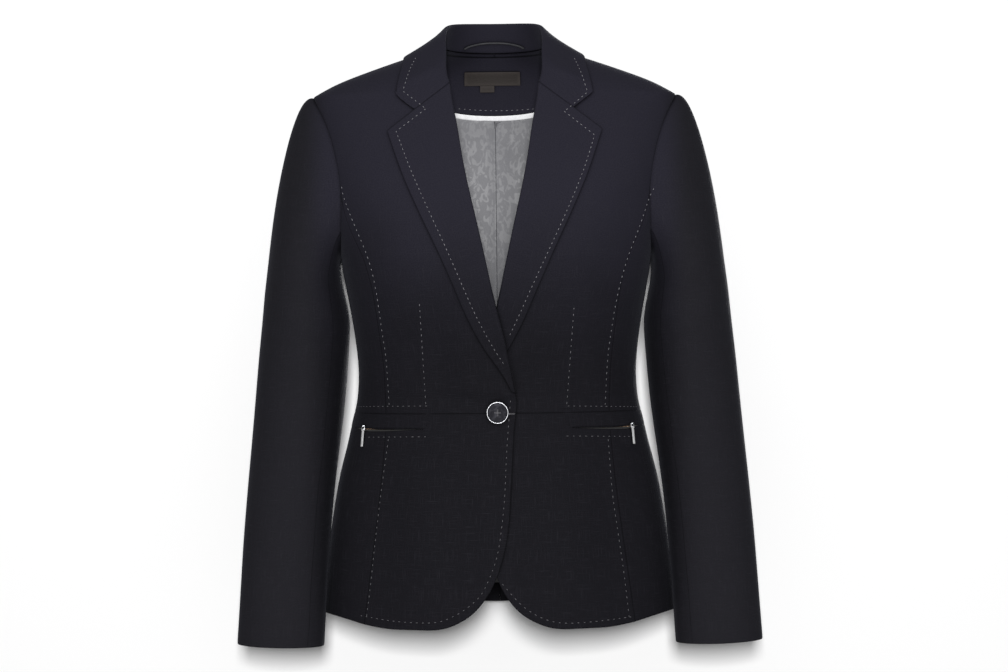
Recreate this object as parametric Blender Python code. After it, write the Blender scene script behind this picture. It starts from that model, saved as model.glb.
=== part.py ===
"""Fitted one-button blazer, filled out as it is worn, as the pieces a maker cuts and sews.

Frame: +X to the right seen from the front, -Y to the front, +Z up.  The origin is the middle
of the neck, level with the side neck points, where the wearer's neck and shoulders hold it.
Sizes are millimetres on the garment's outside; new_object turns them into metres.
"Left" and "right" are as seen from the front; the left front laps over the right one.
"Turn" is the way round the body: 0 the middle of the front, 90 the side, 180 the back's middle.
"""
import bisect
import math

import bmesh
import bpy
from mathutils import Matrix, Vector

METRES = 0.001
SIDES = (("left", -1), ("right", 1))

# Cloth and seams
CLOTH = 1.5            # outer cloth with its backing
LAPEL_CLOTH = 1.5
COLLAR_CLOTH = 1.8
THIN_CLOTH = 1.0       # facing, lining, label, zip tape
SEAM_GAP = 0.3
LAYER_GAP = 0.4        # between a layer and the one it lies on
LINING_GAP = 1.1       # lining and facing hang this far inside the cloth
POINT_GAP = 2.0        # a panel's sharp corner stops this far short of the armhole

# Levels
WAIST_SEAM = -400.0
BAND_FOOT = -415.5     # lower edge of the pocket band

# Armhole: an upright egg on the body's side
ARMHOLE_MIDDLE = -144.5
ARMHOLE_HALF_HEIGHT = 90.5
ARMHOLE_FRONT = 56.0
ARMHOLE_BACK = 62.0
ARMHOLE_SCYE = 0.35    # how much fuller it is below its middle
ARMHOLE_STEPS = 11     # corners from top to bottom, shared by body and sleeve
PRINCESS_STEP = 6      # the corner at which the front and back princess seams start
SLEEVE_SEAM_STEP = 8   # the corner at which the sleeve's two seams start

# Pocket and zip, from the middle of the front
BAND_START = 74.7
SLIT_WIDEST = 144.0
SLIT_END = 154.0
SLIT_HEIGHT = 2.9
SLIDER_AT = 144.0
SLIDER_DROP = 1.25     # of its middle under the pocket band
PULL_TILT = 6.0        # degrees that the pull hangs towards the middle

# Front edges: the whole opening swings to the left towards the hem
SWING = -3.0
SWING_START = -450.0
SWING_END = -620.0
CORNER_TURN = 5.2      # where the front edge becomes the hem

# Lapel and collar rolls
ROLL_HEIGHT = 3.4      # of the lapel's face over the front panel, at its roll
ROLL_RADIUS = 2.0
BREAK_HEIGHT = 2.6     # the same at the lapel's foot, where it is pressed flat
EDGE_DROP = 0.5        # the free edge lies this much lower than the roll
COLLAR_ROLL = 2.7
COLLAR_LIE = 2.9       # least height of the collar's face over the body
NOTCH_SHARE = 0.62     # the notch's place across the collar's front end
NOTCH_REACH = 46.9     # and its distance from the roll along the gorge seam

BUTTON_RADIUS = 12.5
BUTTON_RIM = 1.5
BUTTON_LEVEL = -399.3


# ------------------------------------------------------------------ smooth tables
def monotone(keys, values):
    """Cubic through the points that never overshoots them, held level past its ends."""
    steps = [b - a for a, b in zip(keys, keys[1:])]
    slopes = [(q - p) / step for p, q, step in zip(values, values[1:], steps)]
    inner = [0.0 if s * t <= 0 else 2 * s * t / (s + t) for s, t in zip(slopes, slopes[1:])]
    tangents = [slopes[0]] + inner + [slopes[-1]]

    def at(key):
        key = min(max(key, keys[0]), keys[-1])
        i = min(bisect.bisect_right(keys, key) - 1, len(steps) - 1)
        u = (key - keys[i]) / steps[i]
        return ((1 + 2 * u) * (1 - u) ** 2 * values[i] + u * u * (3 - 2 * u) * values[i + 1]
                + steps[i] * u * (1 - u) * ((1 - u) * tangents[i] - u * tangents[i + 1]))
    return at


def table(columns, rows):
    """Each named column as a smooth function of the first one."""
    names = columns.split()
    rows = sorted(rows)
    keys = [row[0] for row in rows]
    return {name: monotone(keys, [row[i] for row in rows]) for i, name in enumerate(names) if i}


def lerp(a, b, share):
    return a + (b - a) * share


def even(count):
    return [i / count for i in range(count + 1)]


def ease(value, low, high):
    """Smooth step from 0 at low to 1 at high."""
    share = min(max((value - low) / (high - low), 0.0), 1.0)
    return share * share * (3 - 2 * share)


# Sections of the filled-out body; the first row only gives the neck its slope
TORSO = table("z half_width front back squareness", [
    (12, 22, 12, 44, 2.00),
    (0, 58, 30, 72, 2.00),
    (-14.5, 103, 45, 84, 2.00),
    (-27.6, 141, 55, 91, 2.10),
    (-40.8, 175, 63, 96, 2.15),
    (-50, 192.3, 68, 98.8, 2.20),
    (-54, 199, 70, 100, 2.20),
    (-79, 194.5, 82, 104, 2.30),
    (-104, 190, 93, 108, 2.40),
    (-147, 184, 111, 111, 2.45),
    (-178, 180.5, 121, 110.5, 2.42),
    (-206, 176, 127, 109, 2.38),
    (-235, 170, 131, 107, 2.30),
    (-260, 166, 128, 103, 2.25),
    (-300, 158.5, 118, 95, 2.20),
    (-358, 152.4, 103, 82, 2.15),
    (-384, 154, 100, 80, 2.15),
    (-410, 160, 102, 84, 2.15),
    (-437, 166, 105, 91, 2.15),
    (-463, 173, 108, 98, 2.15),
    (-500, 180, 111, 108, 2.15),
    (-560, 189, 115, 119, 2.12),
    (-630, 197, 118, 126, 2.10),
])

# Edge of the front panel: neckline, roll line and front edge (negative is past the middle)
OPENING = table("z from_middle", [
    (0, 57), (-6, 55.5), (-13, 54.3), (-20, 53.4), (-33, 51.4), (-46.6, 47.8), (-62.7, 45.9),
    (-83, 41.9), (-139.4, 32.7), (-203.5, 18.7), (-258, 6.8), (-285, 1.2), (-312, -6),
    (-336, -10.5), (-357, -14.8), (-375, -17.8), (-391, -20.5), (-410, -17.8), (-449, -15.2),
    (-485, -13.4), (-510, -12.2), (-548, -7.7), (-567, -1.8), (-581.5, 4), (-597, 11.6),
    (-606, 20),
])

# Hem level by turn, from the rounded front corner to the middle of the back
HEM = table("turn z", [
    (CORNER_TURN, -606), (7.6, -613.5), (13, -624), (18.7, -628.2), (32.6, -628.2),
    (46, -624.5), (56, -620), (70, -616.5), (90, -616), (120, -618), (180, -622),
])

PRINCESS = table("z from_middle", [
    (-157, 168.5), (-170, 166.5), (-198, 158), (-235, 141.5), (-270, 132), (-318, 126),
    (-345, 122.5), (-388, 120), (-418, 120.5), (-437, 122), (-480, 126.5), (-531, 133),
    (-577, 139), (-625, 145),
])

BACK_SEAM = table("z from_middle", [
    (-157, 161), (-190, 146), (-235, 130), (-300, 110), (-372, 95), (-450, 102), (-540, 113),
    (-625, 122),
])

# Free edge of the lapel, from its tip to the break
LAPEL_EDGE = table("share z from_middle", [
    (0.00, -98, 114.3), (0.13, -141, 99.7), (0.27, -183, 81.8), (0.43, -229, 60.3),
    (0.59, -274, 40.2), (0.69, -300, 28.9), (0.82, -332, 11.7), (0.90, -351, -1),
    (0.96, -366, -10), (1.00, -376, -14.5),
])
LAPEL_TOP = -46.6      # where the gorge seam meets the roll line
LAPEL_FOOT = -378.0

# How far the left front lies above the right one, by level
LAP = table("z height", [
    (-235, 0), (-283, 5.4), (-340, 5.9), (-377, 5.9), (-388, 2.1), (-560, 2.1), (-606, 0.3),
])
LAP_FULL = 30.0        # from the middle: all of the lap's height
LAP_NONE = 62.0

# Collar, from the middle of the back to the gorge: foot, top of the roll and free edge
COLLAR = table(
    "along foot_x foot_y foot_z top_x top_y top_z edge_x edge_y edge_z fold", [
        (-0.28, -50, 36.5, 0, -44.5, 35, 29.5, -77, 50, -11, 160),
        (-0.14, -29.5, 62, 0, -25.5, 55, 32.3, -44, 77, -9, 160),
        (0.00, 0, 72, 0, 0, 62.5, 33, 0, 86, -8, 160),
        (0.14, 29.5, 62, 0, 25.5, 55, 32.3, 44, 77, -9, 160),
        (0.28, 50, 36.5, 0, 44.5, 35, 29.5, 77, 50, -11, 160),
        (0.42, 58, 4, 0, 52.5, 8, 22.5, 94.5, 8, -12.5, 155),
        (0.55, 57, -13, -1.5, 53.5, -17, 11, 97, -14, -17, 145),
        (0.67, 55.6, -26, -6, 53.3, -36, -3, 99, -36, -26, 128),
        (0.79, 53.5, -44, -20, 52.6, -52, -18.5, 102.5, -51, -41, 108),
        (0.90, 51.3, -56, -34, 52.4, -60, -33, 105, -60, -51, 95),
        (1.00, 47.6, -64.6, -46.6, 49.7, -68, -48.2, 106, -64, -58, 90),
    ])

# Sleeve tube below the armhole, by the level of the ring's middle
SLEEVE = table("z middle_y depth drop", [
    (-251, 2, 118, 22), (-300, 4, 114, 8), (-340, 5, 108, 0), (-397, 3, 102, 0),
    (-450, -7, 98, 0), (-529, -29, 88, 0), (-600, -42, 80, 0), (-650, -48, 74, 3),
])
SLEEVE_OUTER = table("z x", [
    (-240, 251), (-252, 253), (-278, 255.9), (-305, 258.6), (-344, 263), (-397, 267.5),
    (-450, 272), (-529, 277.3), (-622, 282.5), (-650, 284.3),
])
SLEEVE_INNER = table("z x", [
    (-240, 171.5), (-262, 168.6), (-280, 164.9), (-300, 161.4), (-344, 164), (-397, 168.5),
    (-450, 175.3), (-476, 178), (-529, 182.8), (-600, 187.3), (-622, 188.3), (-650, 189.8),
])
SLEEVE_LEVELS = (-251, -275, -300, -335, -375, -425, -480, -535, -590, -620, -648.5)
CAP_SHARES = (0.0, 0.08, 0.17, 0.29, 0.46, 0.64, 0.82)

# Lower edge of the neck facing, by turn, and what lies under it
FACING_FOOT = table("turn z", [
    (90, -12), (110, -20), (130, -30), (150, -44), (163, -58), (171, -65), (180, -67),
])
PIPING_WIDTH = 5.2
LINING_LEVELS = (-105, -140, -175, -205, -235, -262, -300, -341, -362, -388, -400, -416,
                 -440, -470, -504, -538, -570, -600)

LOWER_SHARES = (0.0, 0.11, 0.24, 0.38, 0.52, 0.66, 0.79, 0.90, 1.0)
SHOULDER_LEVELS = (0, -7, -14, -21, -28, -34.5, -41, -47.5)
WAIST_LEVELS = (-262, -300, -341, -362, -376, -388)


# ------------------------------------------------------------------ the body's surface
def section(z):
    return [TORSO[name](z) for name in ("half_width", "front", "back", "squareness")]


def torso_point(turn, z):
    half, front, back, square = section(z)
    sine, cosine = math.sin(math.radians(turn)), math.cos(math.radians(turn))
    x = half * math.copysign(abs(sine) ** (2 / square), sine)
    depth = front if cosine > 0 else back
    return Vector((x, -depth * math.copysign(abs(cosine) ** (2 / square), cosine), z))


def front_point(x, z):
    half, front, _, square = section(z)
    return Vector((x, -front * (1 - (abs(x) / half) ** square) ** (1 / square), z))


def front_turn(x, z):
    half, _, _, square = section(z)
    return math.copysign(math.degrees(math.asin((abs(x) / half) ** (square / 2))), x)


def fullness(point):
    """1 on the body's outside, more than 1 beyond it."""
    half, front, back, square = section(point.z)
    depth = front if point.y < 0 else back
    return ((abs(point.x) / half) ** square + (abs(point.y) / depth) ** square) ** (1 / square)


def slope(point, step=0.4):
    axes = (Vector((step, 0, 0)), Vector((0, step, 0)), Vector((0, 0, step)))
    return Vector([(fullness(point + a) - fullness(point - a)) / (2 * step) for a in axes])


def outward(point):
    return slope(point).normalized()


def settle(point, height, only_up=False):
    """Moves a point along the body's normal until it is that high over the body."""
    for _ in range(5):
        steep = slope(point)
        now = (fullness(point) - 1) / steep.length
        if only_up and now >= height:
            break
        point = point + steep.normalized() * (height - now)
    return point


def armhole_turn(step, front):
    """Turn and level of one of the armhole's corners, counted from its top."""
    angle = math.pi * step / ARMHOLE_STEPS
    z = ARMHOLE_MIDDLE + ARMHOLE_HALF_HEIGHT * math.cos(angle)
    reach = (ARMHOLE_FRONT if front else ARMHOLE_BACK)
    y = abs(reach * math.sin(angle) * (1 - ARMHOLE_SCYE * math.cos(angle)))
    _, front_depth, back_depth, square = section(z)
    share = (y / (front_depth if front else back_depth)) ** (square / 2)
    turn = math.degrees(math.acos(share))
    return (turn if front else 180 - turn), z


ARMHOLE_LEVELS = [armhole_turn(step, True)[1] for step in range(ARMHOLE_STEPS + 1)]
UPPER_LEVELS = list(SHOULDER_LEVELS) + ARMHOLE_LEVELS + list(WAIST_LEVELS) + [WAIST_SEAM]


def side_line(z, front):
    """Turn of the seam that ends a panel at the side: shoulder, armhole or side seam."""
    for step, level in enumerate(ARMHOLE_LEVELS):
        if abs(level - z) < 1e-6:
            return armhole_turn(step, front)[0]
    return 90.0


def princess_turn(z, front):
    if front:
        return front_turn(PRINCESS["from_middle"](z), z)
    return 180 - front_turn(BACK_SEAM["from_middle"](z), z)


def slit_level(turn):
    """Lower lip of the zip opening."""
    x = torso_point(turn, BAND_FOOT).x
    rising = ease(x, BAND_START, SLIT_WIDEST)
    falling = 1 - ease(x, SLIT_WIDEST, SLIT_END)
    return BAND_FOOT - SEAM_GAP - SLIT_HEIGHT * rising * falling


def lower_level(turn, share):
    return lerp(slit_level(turn), HEM["z"](turn), share)


def swing(z):
    return SWING * ease(-z, -SWING_START, -SWING_END)


def lap_rise(point):
    """Height of the left front over the body, near the edge where it laps over."""
    return LAP["height"](point.z) * (1 - ease(-point.x, LAP_FULL, LAP_NONE))


# ------------------------------------------------------------------ making solids
def material(name, colour, roughness, metallic=0.0):
    made = bpy.data.materials.new(name)
    made.use_nodes = True
    shader = made.node_tree.nodes["Principled BSDF"]
    shader.inputs["Base Color"].default_value = (*colour, 1.0)
    shader.inputs["Roughness"].default_value = roughness
    shader.inputs["Metallic"].default_value = metallic
    made.diffuse_color = (*colour, 1.0)
    return made


def new_object(name, mesh, look, group):
    """Mesh in millimetres to a smooth-shaded object in metres."""
    for vertex in mesh.vertices:
        vertex.co = vertex.co * METRES
    mesh.shade_smooth()
    mesh.set_sharp_from_angle(angle=math.radians(40))
    made = bpy.data.objects.new(name, mesh)
    made.data.materials.clear()
    made.data.materials.append(look)
    group.objects.link(made)
    return made


def wall_mesh(name, face, back, keep=None):
    """Closed wall between two grids, with a rim wherever a cell has no neighbour."""
    shape = bmesh.new()
    rows, columns = len(face), len(face[0])
    outer = [[shape.verts.new(p) for p in row] for row in face]
    inner = [[shape.verts.new(p) for p in row] for row in back]
    edges = {}
    for i in range(rows - 1):
        for j in range(columns - 1):
            if keep and not keep(i, j):
                continue
            ring = [(i, j), (i, j + 1), (i + 1, j + 1), (i + 1, j)]
            shape.faces.new([outer[a][b] for a, b in ring])
            shape.faces.new([inner[a][b] for a, b in reversed(ring)])
            for start, end in zip(ring, ring[1:] + ring[:1]):
                if (end, start) in edges:
                    del edges[(end, start)]
                else:
                    edges[(start, end)] = True
    for (a, b), (c, d) in edges:
        shape.faces.new([outer[c][d], outer[a][b], inner[a][b], inner[c][d]])
    loose = [v for v in shape.verts if not v.link_faces]
    bmesh.ops.delete(shape, geom=loose, context="VERTS")
    bmesh.ops.remove_doubles(shape, verts=shape.verts, dist=1e-4)
    bmesh.ops.recalc_face_normals(shape, faces=shape.faces)
    mesh = bpy.data.meshes.new(name)
    shape.to_mesh(mesh)
    shape.free()
    return mesh


def trimmed(rows, top=0.0, bottom=0.0, left=0.0, right=0.0):
    """Draws the edges of a grid of points back, so that a seam keeps its gap."""
    rows = [[p.copy() for p in row] for row in rows]
    for edge, inside, by in ((0, 1, top), (-1, -2, bottom)):
        if by:
            pairs = zip(rows[edge], rows[inside])
            rows[edge] = [p + (q - p).normalized() * by for p, q in pairs]
    for edge, inside, by in ((0, 1, left), (-1, -2, right)):
        if by:
            for row in rows:
                row[edge] = row[edge] + (row[inside] - row[edge]).normalized() * by
    return rows


def on_body(rows, height, side, rise=None):
    """Points of a grid moved out from the body and put on their own side."""
    moved = []
    for row in rows:
        line = []
        for point in row:
            placed = Vector((point.x * side, point.y, point.z))
            level = height + (rise(placed) if rise else 0.0)
            line.append(placed + outward(placed) * level)
        moved.append(line)
    return moved


def body_wall(name, rows, look, group, side, outer=0.0, thick=CLOTH, rise=None, keep=None):
    face = on_body(rows, outer, side, rise)
    back = on_body(rows, outer - thick, side, rise)
    return new_object(name, wall_mesh(name, face, back, keep), look, group)


def pointed(rows, corner):
    """Puts a first row in front of the rest, drawn into one point just below a sharp corner."""
    middle = rows[0][len(rows[0]) // 2]
    tip = corner + (middle - corner).normalized() * POINT_GAP
    return [[tip.copy() for _ in rows[0]]] + rows


def row_between(start, end, columns, level):
    """One row of points round the body.

    columns is their number or a list of shares; level is a number or a function of turn.
    """
    shares = columns if isinstance(columns, list) else even(columns)
    points = []
    for share in shares:
        turn = lerp(start, end, share)
        points.append(torso_point(turn, level(turn) if callable(level) else level))
    return points


def grid_normals(rows):
    """Normals of a free grid of points, from the differences to its neighbours."""
    last_row, last_column = len(rows) - 1, len(rows[0]) - 1
    normals = []
    for i, row in enumerate(rows):
        line = []
        for j in range(len(row)):
            down = rows[min(i + 1, last_row)][j] - rows[max(i - 1, 0)][j]
            across = row[min(j + 1, last_column)] - row[max(j - 1, 0)]
            line.append(down.cross(across).normalized())
        normals.append(line)
    return normals


def free_wall(name, rows, thick, look, group, side=1, gorge_rows=()):
    """Wall behind a free grid, whose columns run to the right and rows down on its face."""
    normals = grid_normals(rows)
    for i in gorge_rows:
        normals[i] = gorge_normals(rows[i])
    back = [[p - n * thick for p, n in zip(*pair)] for pair in zip(rows, normals)]
    face = [[Vector((p.x * side, p.y, p.z)) for p in row] for row in rows]
    back = [[Vector((p.x * side, p.y, p.z)) for p in row] for row in back]
    return new_object(name, wall_mesh(name, face, back), look, group)


# ------------------------------------------------------------------ panels
def front_upper(name, side, looks, group):
    rows = []
    start = UPPER_LEVELS.index(ARMHOLE_LEVELS[PRINCESS_STEP])
    for place, z in enumerate(UPPER_LEVELS):
        edge = front_turn(OPENING["from_middle"](z), z)
        far = side_line(z, True) if place <= start else princess_turn(z, True)
        rows.append(row_between(edge, far, 7, z))
    rows = trimmed(rows, bottom=SEAM_GAP / 2, right=SEAM_GAP / 2)
    body_wall("front_upper_" + name, rows, looks["cloth"], group, side,
              rise=lap_rise if side < 0 else None)


def side_front_upper(name, side, looks, group):
    rows = []
    start = UPPER_LEVELS.index(ARMHOLE_LEVELS[PRINCESS_STEP])
    for z in UPPER_LEVELS[start + 1:]:
        rows.append(row_between(princess_turn(z, True), side_line(z, True), 5, z))
    rows = trimmed(rows, bottom=SEAM_GAP / 2, left=SEAM_GAP / 2, right=SEAM_GAP / 2)
    rows = pointed(rows, torso_point(*armhole_turn(PRINCESS_STEP, True)))
    body_wall("side_front_upper_" + name, rows, looks["cloth"], group, side)


def pocket_band(name, side, looks, group):
    start = front_turn(BAND_START + SEAM_GAP, WAIST_SEAM)
    rows = [row_between(start, 90, 12, z) for z in (WAIST_SEAM, BAND_FOOT)]
    rows = trimmed(rows, top=SEAM_GAP / 2, right=SEAM_GAP / 2)
    body_wall("pocket_band_" + name, rows, looks["cloth"], group, side)


def front_lower(name, side, looks, group):
    """Skirt of the front: a strip beside the pocket band, then a patch to the rounded hem."""
    to_band, past_band = 5, 3
    columns = to_band + past_band
    band_turn = front_turn(BAND_START, WAIST_SEAM)
    seam_turn = princess_turn(BAND_FOOT, True)

    def top_turns(z):
        edge = front_turn(OPENING["from_middle"](z), z)
        near = [lerp(edge, band_turn, j / to_band) for j in range(to_band)]
        return near + [lerp(band_turn, seam_turn, j / past_band) for j in range(past_band + 1)]

    def top_level(place, turn):
        return slit_level(turn) if place >= to_band else BAND_FOOT - SEAM_GAP

    strip = [torso_point(turn, WAIST_SEAM) for turn in top_turns(WAIST_SEAM)]
    top = [(turn, top_level(place, turn)) for place, turn in enumerate(top_turns(BAND_FOOT))]
    hem_end = princess_turn(HEM["z"](43.5), True)
    bottom = []
    for j in range(columns + 1):
        turn = lerp(CORNER_TURN, hem_end, (j / columns) ** 1.15)
        bottom.append((turn, HEM["z"](turn)))
    rows = [strip]
    for share in LOWER_SHARES:
        edge_z = lerp(top[0][1], bottom[0][1], share)
        near = (front_turn(OPENING["from_middle"](edge_z), edge_z), edge_z)
        far_z = lerp(top[-1][1], bottom[-1][1], share)
        far = (princess_turn(far_z, True), far_z)
        row = []
        for j in range(columns + 1):
            u = j / columns
            turn, z = [
                lerp(top[j][k], bottom[j][k], share) + lerp(near[k], far[k], u)
                - lerp(lerp(top[0][k], top[-1][k], u), lerp(bottom[0][k], bottom[-1][k], u), share)
                for k in (0, 1)]
            row.append(torso_point(turn, z))
        rows.append(row)
    rows = trimmed(rows, top=SEAM_GAP / 2, right=SEAM_GAP / 2)
    for row in rows:
        for j, point in enumerate(row):
            point.x += side * swing(point.z) * (1 - j / columns)
            point.y = front_point(point.x, point.z).y
    body_wall("front_lower_" + name, rows, looks["cloth"], group, side,
              rise=lap_rise if side < 0 else None, keep=lambda i, j: i > 0 or j < to_band)


def side_front_lower(name, side, looks, group):
    """Its columns stand at the slit's widest place and at its end."""
    seam = princess_turn(BAND_FOOT, True)
    widest, end = [(front_turn(x, BAND_FOOT) - seam) / (90 - seam)
                   for x in (SLIT_WIDEST, SLIT_END)]
    columns = [0.0, widest / 2, widest, end, (1 + end) / 2, 1.0]
    rows = []
    for share in LOWER_SHARES:
        near = princess_turn(lower_level(seam, share), True)
        rows.append(row_between(near, 90, columns, lambda turn: lower_level(turn, share)))
    rows = trimmed(rows, left=SEAM_GAP / 2, right=SEAM_GAP / 2)
    body_wall("side_front_lower_" + name, rows, looks["cloth"], group, side)


def back_levels():
    """Levels of the back's rows: a number, or a share of the way down to the hem."""
    return [(z, None) for z in UPPER_LEVELS] + [(None, share) for share in LOWER_SHARES]


def back_row(near, far, columns, z, share):
    level = z if share is None else (lambda turn: lower_level(turn, share))
    return row_between(near, far, columns, level)


def back_half(name, side, looks, group):
    rows = []
    start = ARMHOLE_LEVELS[PRINCESS_STEP]
    for z, share in back_levels():
        level = z if share is None else lower_level(150, share)
        near = side_line(level, False) if level >= start else princess_turn(level, False)
        rows.append(back_row(near, 180, 6, z, share))
    rows = trimmed(rows, left=SEAM_GAP / 2, right=SEAM_GAP / 2)
    body_wall("back_" + name, rows, looks["cloth"], group, side)


def side_back(name, side, looks, group):
    rows = []
    start = ARMHOLE_LEVELS[PRINCESS_STEP]
    for z, share in back_levels():
        level = z if share is None else lower_level(150, share)
        if level < start:
            near, far = side_line(level, False), princess_turn(level, False)
            rows.append(back_row(near, far, 5, z, share))
    rows = trimmed(rows, left=SEAM_GAP / 2, right=SEAM_GAP / 2)
    rows = pointed(rows, torso_point(*armhole_turn(PRINCESS_STEP, False)))
    body_wall("side_back_" + name, rows, looks["cloth"], group, side)


# ------------------------------------------------------------------ sleeves
def sleeve_ring_point(z, angle):
    """Point of the sleeve's tube: angle 0 is its outer side and 90 its front."""
    inner = (1 - math.cos(angle)) / 2
    drop = SLEEVE["drop"](z)
    outer_z, inner_z = z + drop / 2, z - drop / 2
    x = lerp(SLEEVE_OUTER["x"](outer_z), SLEEVE_INNER["x"](inner_z), inner)
    y = SLEEVE["middle_y"](z) - SLEEVE["depth"](z) / 2 * math.sin(angle)
    return Vector((x, y, lerp(outer_z, inner_z, inner)))


def cap_point(step, share):
    """Point of the sleeve's cap, on the curve from an armhole corner to the tube."""
    front = step >= 0
    angle = math.pi * step / ARMHOLE_STEPS
    start = torso_point(*armhole_turn(abs(step), front))
    end = sleeve_ring_point(SLEEVE_LEVELS[0], angle)
    high = (1 + math.cos(angle)) / 2
    leave = start + Vector((lerp(3, 21, high), 0, lerp(-3, 6, high)))
    arrive = end + Vector((lerp(1, -10, high), 0, lerp(8, 95, high)))
    rest = 1 - share
    return (start * rest ** 3 + leave * 3 * share * rest ** 2
            + arrive * 3 * share ** 2 * rest + end * share ** 3)


def sleeve_piece(node, first, last, side, looks, group):
    """Rows run down the sleeve; columns are armhole corners from first to last."""
    steps = list(range(first, last + 1))
    around = [s if s <= ARMHOLE_STEPS else s - 2 * ARMHOLE_STEPS for s in steps]
    rows = [[cap_point(s, share) for s in around] for share in CAP_SHARES]
    for z in SLEEVE_LEVELS:
        rows.append([sleeve_ring_point(z, math.pi * s / ARMHOLE_STEPS) for s in around])
    full = [[cap_point(s, share) for s in range(-ARMHOLE_STEPS, ARMHOLE_STEPS + 1)]
            for share in CAP_SHARES]
    full += [[sleeve_ring_point(z, math.pi * s / ARMHOLE_STEPS)
              for s in range(-ARMHOLE_STEPS, ARMHOLE_STEPS + 1)] for z in SLEEVE_LEVELS]
    normals = ring_normals(full)
    picked = [[line[s + ARMHOLE_STEPS] for s in around] for line in normals]
    rows = trimmed(rows, top=SEAM_GAP / 2, left=SEAM_GAP / 2, right=SEAM_GAP / 2)
    face = [[Vector((p.x * side, p.y, p.z)) for p in row] for row in rows]
    back = [[p - n * CLOTH for p, n in zip(*pair)] for pair in zip(rows, picked)]
    back = [[Vector((p.x * side, p.y, p.z)) for p in row] for row in back]
    new_object(node, wall_mesh(node, face, back), looks["cloth"], group)


def ring_normals(rows):
    """Normals of rings that close on themselves (first column equals last)."""
    count = len(rows[0]) - 1
    normals = []
    for i, row in enumerate(rows):
        line = []
        for j in range(count + 1):
            down = rows[min(i + 1, len(rows) - 1)][j] - rows[max(i - 1, 0)][j]
            across = row[(j + 1) % count] - row[(j - 1) % count]
            line.append(across.cross(down).normalized())
        normals.append(line)
    return normals


def sleeves(name, side, looks, group):
    seam = SLEEVE_SEAM_STEP
    sleeve_piece("top_sleeve_" + name, -seam, seam, side, looks, group)
    sleeve_piece("under_sleeve_" + name, seam, 2 * ARMHOLE_STEPS - seam, side, looks, group)


# ------------------------------------------------------------------ lapel and collar
def gorge_line():
    """Start of the gorge seam at the roll line, and its direction towards the lapel's tip."""
    start = Vector((OPENING["from_middle"](LAPEL_TOP) - SEAM_GAP, 0, LAPEL_TOP))
    tip = Vector((LAPEL_EDGE["from_middle"](0), 0, LAPEL_EDGE["z"](0)))
    return start, (tip - start).normalized()


def gorge_normals(row):
    """Normals of a row on the gorge seam that keep both of its walls in the seam's plane."""
    heading = gorge_line()[1]
    side = 1 if row[-1].x > row[0].x else -1
    down = Vector((heading.z * side, 0, -heading.x))
    normals = []
    for j in range(len(row)):
        across = row[min(j + 1, len(row) - 1)] - row[max(j - 1, 0)]
        normals.append(down.cross(across).normalized() * side)
    return normals


def over_front(flat, height, side, rise=None):
    """Point at a height over the front, above one given flat as seen from the front."""
    placed = front_point(flat.x * side, flat.z)
    lifted = placed + outward(placed) * (height + (rise(placed) if rise else 0.0))
    return Vector((lifted.x * side, lifted.y, lifted.z))


def rolled(width, height, drop, bends, across):
    """Reach and height of cloth that stands up, rolls over and lies flat."""
    profile = [(0.0, 2 * LAYER_GAP), (0.0, height - ROLL_RADIUS)]
    for angle in bends:
        turn = math.radians(angle)
        profile.append((ROLL_RADIUS * (1 - math.cos(turn)),
                        height - ROLL_RADIUS + ROLL_RADIUS * math.sin(turn)))
    for share in across:
        profile.append((lerp(ROLL_RADIUS, width, share), height - drop * share))
    return profile


def lapel(name, side, looks, group):
    """The turned-out front: stands up over the panel's edge, rolls and lies on the front."""
    rows = []
    for share in even(17):
        roll_z = lerp(LAPEL_TOP, LAPEL_FOOT, share)
        roll = Vector((OPENING["from_middle"](roll_z) - SEAM_GAP, 0, roll_z))
        edge = Vector((LAPEL_EDGE["from_middle"](share), 0, LAPEL_EDGE["z"](share)))
        width = (edge - roll).length
        height = lerp(ROLL_HEIGHT, BREAK_HEIGHT, ease(share, 0.8, 1.0))
        profile = rolled(width, height, EDGE_DROP, (35, 65, 90), even(7)[1:])
        rows.append([over_front(roll.lerp(edge, reach / width), level, side,
                                lap_rise if side < 0 else None) for reach, level in profile])
    rows = trimmed(rows, top=SEAM_GAP / 2)
    free_wall("lapel_" + name, rows, LAPEL_CLOTH, looks["cloth"], group, side, gorge_rows=[0])


COLLAR_SHARES = (0.15, 0.31, 0.47, NOTCH_SHARE, 0.75, 0.88, 1.0)


def gorge_row():
    """The collar's last row: along the lapel's upper edge to the notch, then to its own tip."""
    start, heading = gorge_line()
    tip = Vector((COLLAR["edge_x"](1), 0, COLLAR["edge_z"](1)))
    row = []
    flat_part = [share / NOTCH_SHARE for share in COLLAR_SHARES if share <= NOTCH_SHARE]
    profile = rolled(NOTCH_REACH, ROLL_HEIGHT, EDGE_DROP, (0, 30, 50, 70, 90), flat_part)
    for reach, height in profile:
        row.append(over_front(start + heading * reach, height, 1))
    for share in COLLAR_SHARES:
        if share > NOTCH_SHARE:
            past = (share - NOTCH_SHARE) / (1 - NOTCH_SHARE)
            flat = (start + heading * NOTCH_REACH).lerp(tip, past)
            row.append(over_front(flat, ROLL_HEIGHT - EDGE_DROP, 1))
    return row


def collar_row(along):
    """Face of the collar across one station: stand, roll and fall."""
    half = abs(along)
    mirror = -1 if along < 0 else 1
    row = gorge_row() if half == 1 else neck_row(half)
    return [Vector((p.x * mirror, p.y, p.z)) for p in row]


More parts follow.
